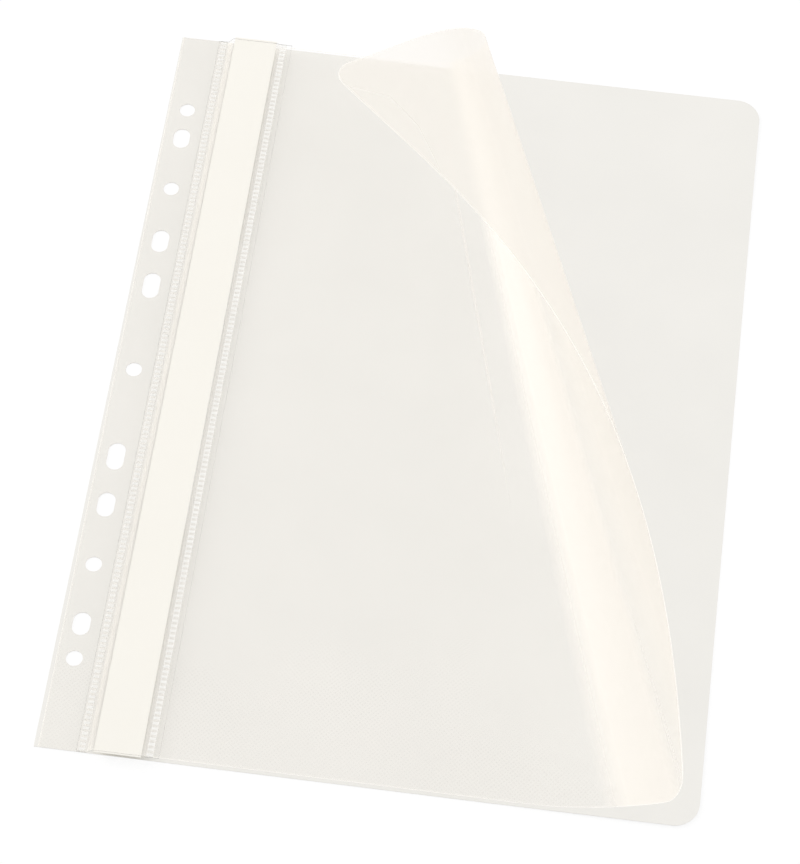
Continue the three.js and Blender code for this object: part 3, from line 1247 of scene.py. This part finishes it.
@dataclass
class FrontCover:
    """The clear front cover from its crease to its rolled free edge."""

    lines: SpineLines
    crease: CreaseBand
    curl: Curl
    joints: list[dict]
    corner_radius: float = 0.009
    overhang: float = 0.0015
    rows: int = 64
    flat_columns: int = 40
    flap_columns: int = 14
    crease_columns: int = 36
    seam_columns: int = 5
    crease_end: float = 0.0002
    seam_start: float = 0.001
    # Where the painted highlight line lies, as a share of the turn
    bend_highlight_share: float = 0.075
    band_share: float = 0.97
    flap_clearance: float = 0.00001
    bottom: float = field(init=False)
    top: float = field(init=False)
    right: float = field(init=False)
    seam: float = field(init=False)

    def __post_init__(self) -> None:
        """Reads the sheet's ends from its solid, and where the crease's film ends under the label."""
        low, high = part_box("front_cover")
        self.bottom = low.y
        self.top = high.y
        self.right = self.lines.free_edge + self.overhang
        self.seam = (self.lines.label_low.x + self.lines.label_high.x) / 2

    def clipped(self, low: np.ndarray, high: np.ndarray) -> tuple[np.ndarray, np.ndarray]:
        """Cuts lines to the sheet's outline.

        Each line is cut by the straight edges, and an end in a rounded corner is moved onto the corner's
        arc: where the distance from the corner's centre, squared, is the radius squared.

        Args:
            low: a point on each line, at or below the sheet.
            high: another point on it, at or above the sheet.
        Returns:
            The lower and upper end of each cut line.
        """
        way = high - low
        start = (self.bottom - low[:, 1]) / way[:, 1]
        end = (self.top - low[:, 1]) / way[:, 1]
        slope = np.where(np.abs(way[:, 0]) < TINY, TINY, way[:, 0])
        side = (self.right - low[:, 0]) / slope
        start = np.where(way[:, 0] < 0, np.maximum(start, side), start)
        end = np.where(way[:, 0] > 0, np.minimum(end, side), end)
        shares = [start, end]
        radius = self.corner_radius
        for corner_y, outward in ((self.bottom + radius, -1), (self.top - radius, 1)):
            centre = np.array([self.right - radius, corner_y])
            square = (way**2).sum(1)
            along = ((low - centre) * way).sum(1)
            beyond = ((low - centre) ** 2).sum(1) - radius**2
            root = np.sqrt(np.maximum(along * along - square * beyond, 0.0))
            for number, sign in enumerate((-1, 1)):
                point = low + shares[number][:, None] * way
                cornered = (point[:, 0] > centre[0]) & (outward * (point[:, 1] - corner_y) > 0)
                shares[number] = np.where(cornered, (-along + sign * root) / square, shares[number])
        return low + shares[0][:, None] * way, low + shares[1][:, None] * way

    def flap_lines(self) -> tuple[np.ndarray, np.ndarray]:
        """Lines beside the last bend line, nearer and nearer to the sheet's upper corner.

        Returns:
            A lower and an upper point of each line.
        """
        bottom, top = self.curl.ruling(np.array([1.0]))
        along = unit(top - bottom)
        out = np.stack([along[:, 1], -along[:, 0]], -1)
        centre = np.array([self.right - self.corner_radius, self.top - self.corner_radius])
        reach = float(((centre - top) * out).sum()) + self.corner_radius - self.flap_clearance
        step = np.sin(np.linspace(0, math.pi / 2, self.flap_columns + 1))[1:, None] * reach
        return bottom + step * out, top + step * out

    def rolled(
        self,
        low: np.ndarray,
        high: np.ndarray,
        turns: np.ndarray,
        cut: tuple[bool, bool, bool, bool],
    ) -> tuple[Shell, np.ndarray]:
        """Fills the space between lines of the flat sheet with a grid and rolls it.

        Args:
            low: the lower end of each line.
            high: its upper end.
            turns: the matrix that each line is rolled by.
            cut: which sides are cut edges.
        Returns:
            The shell and the flat places of its upper points.
        """
        share = np.linspace(0, 1, self.rows + 1)[None, :, None]
        flat = low[:, None, :] + (high - low)[:, None, :] * share
        faces = []
        for height in (self.lines.cover_top, self.lines.cover_rest):
            solid = grid_of(flat[..., 0], flat[..., 1], height)
            faces.append(np.einsum("nij,nkj->nki", turns[:, :3, :3], solid) + turns[:, None, :3, 3])
        up = np.broadcast_to(turns[:, None, :3, 2], faces[0].shape)
        places = grid_of(flat[..., 0], flat[..., 1], 0.0).reshape(-1, 3)
        return Shell(faces[0], faces[1], up, -up, cut), places

    def finish(
        self,
        name: str,
        shell: Shell,
        places: np.ndarray,
        film: bpy.types.Material,
    ) -> bpy.types.Object:
        """Builds a shell and stores where each of its points lies in the flat sheet.

        Args:
            name: the piece's name.
            shell: its form.
            places: the flat places of its upper points.
            film: its finish.
        Returns:
            The piece.
        """
        piece = shell.build(name, film)
        set_point_values(piece, PLACE, places)
        set_point_values(piece, EDGE, nearness(self.edge_distance(places)))
        return piece

    def edge_distance(self, places: np.ndarray) -> np.ndarray:
        """How far places of the flat sheet are from its cut edges.

        In a rounded corner it is the radius less the distance from the corner's centre.

        Args:
            places: places of the flat sheet.
        Returns:
            A distance for each.
        """
        x, y = places[:, 0], places[:, 1]
        radius = self.corner_radius
        distance = np.minimum(np.minimum(self.top - y, y - self.bottom), self.right - x)
        off_x = x - (self.right - radius)
        off_y = y - np.clip(y, self.bottom + radius, self.top - radius)
        cornered = (off_x > 0) & (off_y != 0)
        return np.where(cornered, radius - np.hypot(off_x, off_y), distance)

    def build_crease(self, film: bpy.types.Material) -> None:
        """Makes the strip that climbs from the weld onto the front cover, one profile along the spine.

        Args:
            film: the strip's finish.
        """
        at = self.lines
        bend = np.linspace(at.weld_end, at.rise_end + self.crease_end, self.crease_columns)
        level_part = np.linspace(at.rise_end + self.seam_start, self.seam, self.seam_columns)
        x = np.concatenate([bend, level_part])[:, None]
        y = np.linspace(self.bottom, self.top, self.rows + 1)[None, :]
        rise = self.crease.climb(x, at.rise_end)
        thickness = at.cover_top - at.cover_rest
        low = at.back_top + LAYER_GAP + (at.cover_rest - at.back_top - LAYER_GAP) * rise
        upper, lower = grid_of(x, y, low + thickness), grid_of(x, y, low)
        shell = Shell(upper, lower, cut_sides=(True, False, True, False))
        piece = self.finish("front_cover_crease", shell, grid_of(x, y, 0.0).reshape(-1, 3), film)
        self.crease.blend(piece)
        dress(piece, Slot.CLEAR)

    def build_roll(self, film: bpy.types.Material) -> None:
        """Makes the flat sheet and the roll, one piece for each bend.

        The first piece also has the flat part from the seam to the first bend line, and the last piece
        also has the flap beyond the last one.

        Args:
            film: the finish of all of them.
        """
        curl = self.curl
        turns = curl.turns()
        low, high = self.clipped(*curl.ruling(np.arange(len(turns)) / (len(turns) - 1)))
        share = np.linspace(0, 1, self.flat_columns, endpoint=False)[:, None]
        left_low = np.array([[self.seam, self.bottom]])
        left_high = np.array([[self.seam, self.top]])
        flap_low, flap_high = self.clipped(*self.flap_lines())
        lows = np.concatenate([left_low + (low[:1] - left_low) * share, low, flap_low])
        highs = np.concatenate([left_high + (high[:1] - left_high) * share, high, flap_high])
        flat_turns = np.repeat(turns[:1], self.flat_columns, 0)
        matrices = np.concatenate([flat_turns, turns, np.repeat(turns[-1:], len(flap_low), 0)])
        for bend in range(curl.bends):
            is_first, is_last = bend == 0, bend == curl.bends - 1
            start = self.flat_columns + bend * curl.columns
            part = slice(0 if is_first else start, None if is_last else start + curl.columns + 1)
            name = "front_cover_sheet" if is_first else f"front_cover_roll_{bend + 1}"
            cut = (True, is_last, True, False)
            shell, places = self.rolled(lows[part], highs[part], matrices[part], cut)
            piece = self.finish(name, shell, places, film)
            # The first piece carries the place of the painted highlight line where the roll begins
            if is_first:
                set_point_values(piece, PAINTED_HIGHLIGHT_LINE, self.beside_bend_highlight(places))
            self.bend_piece(piece, bend, turns)
            dress(piece, Slot.CLEAR, f"front_cover_curl_{bend + 1}", *(["front_cover"] if is_first else []))

    def beside_bend_highlight(self, places: np.ndarray) -> np.ndarray:
        """Where places lie across the painted highlight line on which the roll begins.

        Args:
            places: places of the flat sheet.
        Returns:
            For each, 0.5 on the line and 0 and 1 at the reach on either side of it.
        """
        low, high = self.curl.ruling(np.array([self.bend_highlight_share]))
        along = unit(high - low)[0]
        distance = (places[:, :2] - low[0]) @ np.array([along[1], -along[0]])
        return np.clip(0.5 + distance / (2 * REACH), 0, 1)

    def bend_piece(
        self,
        piece: bpy.types.Object,
        bend: int,
        turns: np.ndarray,
    ) -> None:
        """Works out the axis of the piece's bend and the way across it, which nothing uses, and bakes its
        place into its mesh.

        Args:
            piece: the piece.
            bend: the number of its bend, from 0.
            turns: the matrices of all lines.
        """
        columns = self.curl.columns
        joint = self.joints[bend]
        axis = unit(np.array(joint["axis"]))
        up = turns[bend * columns + columns // 2][:3, 2]
        across = unit(np.cross(up, axis))
        across = across if across[0] * up[2] > 0 else -across
        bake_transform(piece)


@dataclass
class LabelPocket:
    """The clear strip over the label, with its two ladder welds."""

    lines: SpineLines
    crease: CreaseBand
    flange: float = 0.0006
    weld_width: float = 0.0027
    end_flange: float = 0.002
    step_length: float = 0.0012
    pitch: float = 0.002
    relief: float = 0.00015
    border: float = 0.0005
    border_start: float = 1.2
    end_slope: float = 12.0
    rung_slope: float = 0.75
    fullness: tuple[float, float] = (0.75, 1.0)
    haze: float = 0.3
    # A haze on the film from the label's edge to the right weld: painted light that lifts the shade there
    painted_light_haze: float = 0.42
    edge_reach: float = 0.0004
    rows_per_rung: int = 6
    jitter: float = 0.00012
    lean: float = 0.0002
    seeds: tuple[int, int] = (3, 4)
    columns: tuple[int, ...] = (2, 8, 12, 4, 2, 4, 8, 2)

    def weld_shape(self, x: np.ndarray, y: np.ndarray, start: float, seed: int) -> np.ndarray:
        """How far the film is melted at each place of a weld, from 0 to 1.

        Rungs are an eased wave along the spine, each moved and leaned a little, and borders run along
        both sides of the weld.

        Args:
            x: places across the spine.
            y: places along it.
            start: where the weld starts.
            seed: seed of the irregularities.
        Returns:
            An array of one value for each x and y.
        """
        u = ((x - start) / self.weld_width)[:, None]
        from_side = np.minimum(u, 1 - u)
        count = int(2 * self.lines.half_length / self.pitch) + 2
        random = np.random.default_rng(seed)
        knots = np.arange(count) * self.pitch - self.lines.half_length
        moved = np.interp(y, knots, random.uniform(-self.jitter, self.jitter, count))
        leaned = np.interp(y, knots, random.uniform(-self.lean, self.lean, count))
        phase = (y + moved + leaned * (u - 0.5)) / self.pitch
        rung = smoothstep(0.5 + self.rung_slope * np.cos(2 * math.pi * phase))
        edge = smoothstep(self.border_start - from_side * self.weld_width / self.border)
        full = np.interp(y, knots, random.uniform(*self.fullness, count))
        melted = self.haze + (1 - self.haze) * np.maximum(rung, edge) * full
        return smoothstep(from_side * self.end_slope) * melted

    def build(self, film: bpy.types.Material) -> None:
        """Makes the strip as one grid: flange, weld, climb, flat over the label, step, weld and flange.

        Args:
            film: the strip's finish.
        """
        at = self.lines
        left = at.pocket_start + self.flange
        right = at.seam_end - self.end_flange - self.weld_width
        weld_ends = (left + self.weld_width, right + self.weld_width)
        stops = (at.pocket_start, left, weld_ends[0], at.rise_end, at.label_high.x)
        stops += (at.step_start, right, weld_ends[1], at.seam_end)
        stretches = zip(stops, stops[1:], self.columns)
        parts = [np.linspace(start, end, count, endpoint=False) for start, end, count in stretches]
        x = np.concatenate([*parts, [at.seam_end]])
        rungs = round(2 * at.half_length / self.pitch)
        y = np.linspace(-at.half_length, at.half_length, rungs * self.rows_per_rung + 1)
        rise = self.crease.climb(x, at.rise_end)
        step = smoothstep((x - at.step_start) / self.step_length)
        low = at.margin_top + LAYER_GAP + (at.pocket_low - at.margin_top - LAYER_GAP) * rise
        low = (low - (at.pocket_low - at.cover_top - LAYER_GAP) * step)[:, None]
        melted = sum(self.weld_shape(x, y, *weld) for weld in zip((left, right), self.seeds))
        high = low + (at.pocket_top - at.pocket_low) + self.relief * melted
        # Painted light: a haze from the label's edge to the right weld that lifts the shade in that gap
        beside = smoothstep((x - at.label_high.x) / self.edge_reach) * (x < weld_ends[1])
        veiled = np.maximum(melted, self.painted_light_haze * beside[:, None])
        x, y = x[:, None], y[None, :]
        piece = Shell(grid_of(x, y, high), grid_of(x, y, low)).build("label_pocket_film", film)
        distance = np.minimum(np.minimum(x - at.pocket_start, at.seam_end - x), at.half_length - np.abs(y))
        set_point_values(piece, PLACE, grid_of(x, y, 0.0).reshape(-1, 3))
        set_point_values(piece, WELD_AND_PAINTED_HAZE, veiled.ravel())
        set_point_values(piece, EDGE, nearness(distance).ravel())
        self.crease.blend(piece)
        replaced = ("label_pocket_margin", "label_pocket_side", "label_pocket", "label_pocket_seam")
        dress(piece, Slot.POCKET, *replaced)


@dataclass
class Fastener:
    """The prong fastener under the label: base, prong strip and compressor bar."""

    prong_width: float = 0.0044
    prong_reach: float = 0.033
    prong_steel: float = 0.0003
    prong_steps: int = 26
    tip_steps: int = 7
    tip_square: float = 1e-9
    bend_radius: float = 0.0006
    bend_steps: int = 7
    width_steps: int = 7
    clearance: float = 0.0004
    end_radius: float = 0.004
    end_steps: int = 9
    base_spacing: float = 0.003
    edge_round: float = 0.00015
    bar_thickness: float = 0.0007
    bar_spacing: float = 0.00055
    loop_places: tuple[float, ...] = (0.014, 0.029)
    loop_length: float = 0.004
    loop_wall: float = 0.0012
    loop_roof: float = 0.00025
    loop_flatness: float = 0.35
    loop_steps: tuple[int, int] = (25, 7)
    rim_width: float = 0.0011
    rim_height: float = 0.0003

    def plan(self, low: Vector, high: Vector) -> np.ndarray:
        """A rounded rectangle over a solid's box.

        Args:
            low: the box's low corner.
            high: its high corner.
        Returns:
            The outline's points.
        """
        radius = self.end_radius
        left, right = low.x + radius, high.x - radius
        bottom, top = low.y + radius, high.y - radius
        corners = ((right, bottom), (right, top), (left, top), (left, bottom))
        arcs = [arc(c, radius, -90 + 90 * i, 90 * i, self.end_steps) for i, c in enumerate(corners)]
        return np.concatenate(arcs)

    def slots(self, middle: float, pitch: float, spare: float) -> list[np.ndarray]:
        """The two slots that the prongs pass through.

        Args:
            middle: the fastener's middle line.
            pitch: from one prong's outer face to the other's.
            spare: the room before and behind a prong.
        Returns:
            The slots' outlines.
        """
        half = self.prong_width / 2 + self.clearance
        reach = self.prong_steel / 2 + spare
        left, right = middle - half, middle + half
        cuts = []
        for side in (-1, 1):
            y = side * (pitch / 2 - self.prong_steel / 2)
            bottom, top = y - reach, y + reach
            cuts.append(np.array([(left, bottom), (right, bottom), (right, top), (left, top)]))
        return cuts

    def round_edges(self, piece: bpy.types.Object) -> None:
        """Rounds a moulded piece's edges.

        Args:
            piece: the piece.
        """
        modifier = piece.modifiers.new("rounded_edges", "BEVEL")
        modifier.width = self.edge_round
        modifier.segments = 2
        modifier.limit_method = "ANGLE"

    def build(self, plastic: bpy.types.Material, steel: bpy.types.Material) -> None:
        """Makes the three pieces, each in the space of its solid.

        Args:
            plastic: the finish of the base and the bar.
            steel: the finish of the prong strip.
        """
        base_low, base_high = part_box("fastener_base")
        bar_low, bar_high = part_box("compressor_bar")
        prong_low, prong_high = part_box("prong_strip")
        middle = (base_low.x + base_high.x) / 2
        pitch = prong_high.y - prong_low.y
        base = PlanSheet(
            self.plan(base_low, base_high),
            self.slots(middle, pitch, self.clearance),
            level(base_low.z + self.prong_steel),
            level(base_high.z),
            spacing=self.base_spacing,
        ).build("fastener_base_plate", plastic)
        self.round_edges(base)
        settle(base, Body.BACK, Slot.PLASTIC, "fastener_base")
        bar_top = bar_low.z + self.bar_thickness
        bar_slots = self.slots(middle, pitch, 2 * self.clearance)
        bar = self.bar_plate(bar_low, bar_high, bar_top, bar_slots, plastic)
        settle(bar, Body.BACK, Slot.PLASTIC, "compressor_bar")
        places = [side * place for side in (-1, 1) for place in self.loop_places]
        for number, place in enumerate(places):
            loop = self.loop(f"bar_loop_{number + 1}", middle, place, bar_top, bar_high.z, plastic)
            settle(loop, Body.BACK, Slot.PLASTIC)
        prongs = self.prongs(middle, pitch, prong_low.z, prong_high.z, steel)
        settle(prongs, Body.BACK, Slot.STEEL, "prong_strip")

    def bar_plate(
        self,
        low: Vector,
        high: Vector,
        top: float,
        slots: list[np.ndarray],
        plastic: bpy.types.Material,
    ) -> bpy.types.Object:
        """The bar's plate, whose upper face swells into a rounded rim along both long sides.

        Args:
            low: the low corner of the bar's box.
            high: its high corner.
            top: the height of the plate's upper face.
            slots: the outlines of the prongs' slots.
            plastic: the finish.
        Returns:
            The piece.
        """

        def surface(plan: np.ndarray) -> np.ndarray:
            """The plate's top, plus a half-wave ridge beside each long side.

            Args:
                plan: places over the plate.
            Returns:
                A height for each.
            """
            from_side = np.minimum(plan[:, 0] - low.x, high.x - plan[:, 0])
            from_end = np.minimum(plan[:, 1] - low.y, high.y - plan[:, 1])
            wave = np.sin(np.clip(from_side / self.rim_width, 0, 1) * math.pi)
            return top + self.rim_height * wave * smoothstep(from_end / self.end_radius - 0.5)

        sheet = PlanSheet(self.plan(low, high), slots, level(low.z), surface, spacing=self.bar_spacing)
        return sheet.build("compressor_bar_plate", plastic)

    def loop(
        self,
        name: str,
        middle: float,
        y: float,
        foot: float,
        roof: float,
        plastic: bpy.types.Material,
    ) -> bpy.types.Object:
        """A guide loop over the prong: an arch profile with rounded shoulders, carried along the bar.

        Half width and rise follow the cosine and sine of an angle, each raised to a small power.

        Args:
            name: the loop's name.
            middle: the fastener's middle line.
            y: the loop's middle along the bar.
            foot: the height that it stands on.
            roof: the height of its top.
            plastic: the finish.
        Returns:
            The piece.
        """
        inner = self.prong_width / 2 + self.clearance
        outer = inner + self.loop_wall
        angle = np.linspace(0, math.pi, self.loop_steps[0])[:, None]
        across = np.sign(np.cos(angle)) * np.abs(np.cos(angle)) ** self.loop_flatness
        rise = np.abs(np.sin(angle)) ** self.loop_flatness
        reach = self.loop_length / 2
        along = np.linspace(y - reach, y + reach, self.loop_steps[1])[None, :]
        faces = []
        for half, top in ((outer, roof), (inner, roof - self.loop_roof)):
            faces.append(grid_of(middle - half * across, along, foot + (top - foot) * rise))
        return Shell(*faces).build(name, plastic)

    def prongs(
        self,
        middle: float,
        pitch: float,
        low: float,
        high: float,
        steel: bpy.types.Material,
    ) -> bpy.types.Object:
        """The strip: under the base, up through its slots and folded inwards, with round tips.

        The middle line is a polygon whose corners are rounded by arcs, and the width shrinks towards each
        tip as a half circle.

        Args:
            middle: the fastener's middle line.
            pitch: from one prong's outer face to the other's.
            low: the height of the strip's underside.
            high: the height of the folded prongs' upper side.
            steel: the finish.
        Returns:
            The piece.
        """
        half = self.prong_steel / 2
        outer = pitch / 2 - half
        tip = pitch / 2 - self.prong_reach
        bend = outer - self.bend_radius
        top, bottom = high - half, low + half
        corner = arc((bend, bottom + self.bend_radius), self.bend_radius, -90, 0, self.bend_steps)
        fold = arc((bend, top - self.bend_radius), self.bend_radius, 0, 90, self.bend_steps)
        run = np.linspace(bend, tip, self.prong_steps)[1:]
        radius = self.prong_width / 2
        round_off = tip + radius * (1 - np.cos(np.linspace(0, math.pi / 2, self.tip_steps)))[::-1]
        run = np.concatenate([run[run > round_off[0] + 10 * SAME_PLACE], round_off])
        one_side = np.concatenate([corner, fold, np.stack([run, np.full(len(run), top)], -1)])
        path = np.concatenate([one_side[::-1] * [-1, 1], one_side])
        moved = np.linalg.norm(np.diff(path, axis=0), axis=1) > SAME_PLACE
        path = path[np.concatenate([[True], moved])]
        slope = unit(np.gradient(path, axis=0))
        outward = np.stack([slope[:, 1], -slope[:, 0]], -1)
        from_tip = np.where(path[:, 1] > (top + bottom) / 2, np.abs(path[:, 0]) - tip, 1.0)
        square = radius**2 - np.maximum(radius - from_tip, 0) ** 2
        width = np.sqrt(np.maximum(square, self.tip_square))
        x = middle + np.linspace(-1, 1, self.width_steps)[:, None] * width
        sides = [path + offset * outward for offset in (-half, half)]
        faces = [grid_of(x, side[:, 0], side[:, 1]) for side in sides]
        return Shell(*faces).build("prong_strip_steel", steel)


@dataclass
class LabelStrip:
    """The paper label: it lies in the pocket and shows past both ends of the cover."""

    lines: SpineLines
    crown: float = 0.00004
    columns: int = 9
    rows: int = 81

    def build(self, paper: bpy.types.Material) -> None:
        """Makes the strip, whose faces are crowned by a hair across its width.

        Args:
            paper: the strip's finish.
        """
        low, high = self.lines.label_low, self.lines.label_high
        x = np.linspace(low.x, high.x, self.columns)[:, None]
        y = np.linspace(low.y, high.y, self.rows)[None, :]
        arch = self.crown * (1 - np.linspace(-1, 1, self.columns) ** 2)[:, None]
        shell = Shell(grid_of(x, y, high.z + arch), grid_of(x, y, low.z + arch))
        settle(shell.build("label_strip_paper", paper), Body.LABEL, Slot.PAPER, "label_strip")


# Studio


@dataclass(frozen=True)
class Lamp:
    """A square soft lamp that points at the object's middle."""

    name: str
    place: tuple[float, float, float]
    size: float
    power: float

    def build(self) -> None:
        """Hangs the lamp in its place."""
        data = bpy.data.lights.new(self.name, "AREA")
        data.size = self.size
        data.energy = self.power
        lamp = bpy.data.objects.new(self.name, data)
        lamp.location = self.place
        lamp.rotation_euler = Vector(self.place).to_track_quat("Z", "Y").to_euler()
        bpy.context.scene.collection.objects.link(lamp)


@dataclass
class Studio:
    """Floor, soft lamps, pale surroundings and the photograph's camera."""

    camera_place: tuple[float, float, float] = (0.0538848, -0.5305055, 0.9329517)
    camera_turn: tuple[float, float, float] = (29.139350, -1.407310, 7.038712)
    lens: float = 119.7246
    sensor: float = 36.0
    shift: tuple[float, float] = (-0.0596838, 0.0029926)
    nearest: float = 0.05
    floor_size: float = 3.0
    floor_drop: float = 0.00005
    floor_grey: float = 0.9
    floor_glow: float = 0.78
    glow_strength: float = 1.04
    surround: float = 0.7
    lamps: tuple[Lamp, ...] = (
        Lamp("left_lamp", (-3.2, 1.9, 1.9), 3.2, 88.0),
        Lamp("right_lamp", (3.6, 0.8, 0.55), 2.0, 40.0),
        Lamp("top_lamp", (1.0, -0.8, 3.2), 2.0, 12.0),
    )

    def build(self) -> None:
        """Makes the whole studio."""
        self.build_camera()
        self.build_floor()
        self.build_world()
        for lamp in self.lamps:
            lamp.build()

    def build_camera(self) -> None:
        """Sets up the camera at the photograph's viewing angle."""
        data = bpy.data.cameras.new("camera")
        data.lens = self.lens
        data.sensor_width = self.sensor
        data.shift_x, data.shift_y = self.shift
        data.clip_start = self.nearest
        camera = bpy.data.objects.new("camera", data)
        camera.location = self.camera_place
        camera.rotation_euler = [math.radians(a) for a in self.camera_turn]
        bpy.context.scene.collection.objects.link(camera)
        bpy.context.scene.camera = camera

    def build_floor(self) -> None:
        """A white floor that glows for the camera and still takes the object's shadow."""
        material = bpy.data.materials.new("pale_floor")
        material.use_nodes = True
        tree = material.node_tree
        tree.nodes.clear()
        diffuse = add_node(tree, "ShaderNodeBsdfDiffuse", Color=(*[self.floor_grey] * 3, 1.0))
        glow = add_node(tree, "ShaderNodeEmission", Strength=self.glow_strength)
        mix = tree.nodes.new("ShaderNodeMixShader")
        out = tree.nodes.new("ShaderNodeOutputMaterial")
        tree.links.new(calculate(tree, "MULTIPLY", seen_directly(tree), self.floor_glow), mix.inputs[0])
        tree.links.new(diffuse.outputs[0], mix.inputs[1])
        tree.links.new(glow.outputs[0], mix.inputs[2])
        tree.links.new(mix.outputs[0], out.inputs["Surface"])
        half, drop = self.floor_size / 2, self.floor_drop
        corners = np.array([(x * half, y * half, -drop) for x, y in ((-1, -1), (1, -1), (1, 1), (-1, 1))])
        floor = mesh_object("floor", corners, [[0, 1, 2, 3]], material)

    def build_world(self) -> None:
        """Even light from all sides, seen as white."""
        world = bpy.data.worlds.new("pale_world")
        bpy.context.scene.world = world
        world.use_nodes = True
        tree = world.node_tree
        background = tree.nodes["Background"]
        strength = remap(tree, seen_directly(tree), self.surround, 1.0)
        tree.links.new(strength, background.inputs["Strength"])
        background.inputs["Color"].default_value = (1.0, 1.0, 1.0, 1.0)


# Finishes of the pieces

WHITE_SHEET = SatinFinish(
    "white_sheet",
    dark=(0.832, 0.816, 0.775),
    light=(0.868, 0.85, 0.808),
    roughness=(0.42, 0.58),
    cells_per_metre=1100.0,
    grain_depth=0.00002,
    grain_strength=0.25,
    on_sheet=True,
)
LABEL_PAPER = SatinFinish(
    "label_paper",
    dark=(0.92, 0.895, 0.83),
    light=(0.94, 0.915, 0.85),
    roughness=(0.75, 0.9),
    cells_per_metre=2600.0,
    grain_depth=0.00002,
    grain_strength=0.35,
    shine=0.2,
)
MOULDED_PLASTIC = SatinFinish(
    "moulded_plastic",
    dark=(0.83, 0.83, 0.82),
    light=(0.87, 0.87, 0.86),
    roughness=(0.3, 0.42),
    cells_per_metre=3000.0,
    grain_depth=0.00001,
    grain_strength=0.2,
)
PRONG_STEEL = SteelFinish("prong_steel")
EMBOSSED_FILM = ClearFinish("embossed_film")
POCKET_FILM = ClearFinish(
    "pocket_film",
    # Its edge line is dark: painted shade along the pocket's edge
    painted_edge_line_colour=(0.45, 0.44, 0.42),
    veil=0.015,
    slanted_veil=0.12,
    painted_glint_veil=0.0,
    rim_veil=0.15,
    rim_painted_glow=0.0,
    painted_emboss_glint_veil=0.0,
    grain_pitch=0.007,
    grain_strength=0.02,
)
CREASED_FILM = ClearFinish(
    "creased_film",
    veil=0.02,
    slanted_veil=0.12,
    painted_glint_veil=0.0,
    painted_emboss_glint_veil=0.0,
)


def main() -> None:
    """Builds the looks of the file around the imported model."""
    logging.basicConfig(level=logging.INFO, format="%(message)s")
    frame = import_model()
    bpy.context.scene.view_settings.view_transform = "Standard"
    bpy.context.scene.cycles.transparent_max_bounces = CLEAR_FACES
    bends = [j for j in frame["joints"] if j["child"].startswith("curl_")]
    bends.sort(key=lambda j: int(j["child"].split("_")[1]))

    effects = SharedEffects()
    sheet = WHITE_SHEET.build(effects)
    paper = LABEL_PAPER.build(effects)
    plastic = MOULDED_PLASTIC.build(effects)
    steel = PRONG_STEEL.build(effects)
    embossed = EMBOSSED_FILM.build(effects)
    smooth = POCKET_FILM.build(effects)
    creased = CREASED_FILM.build(effects)

    lines = SpineLines.from_frame(frame["joints"])
    crease = CreaseBand(lines)
    BackCover(lines, FilingEdge()).build(sheet, embossed)
    cover = FrontCover(lines, crease, Curl(lines, bends=len(bends)), bends)
    cover.build_crease(creased)
    cover.build_roll(embossed)
    LabelPocket(lines, crease).build(smooth)
    LabelStrip(lines).build(paper)
    Fastener().build(plastic, steel)
    Studio().build()


if __name__ == "__main__":
    main()
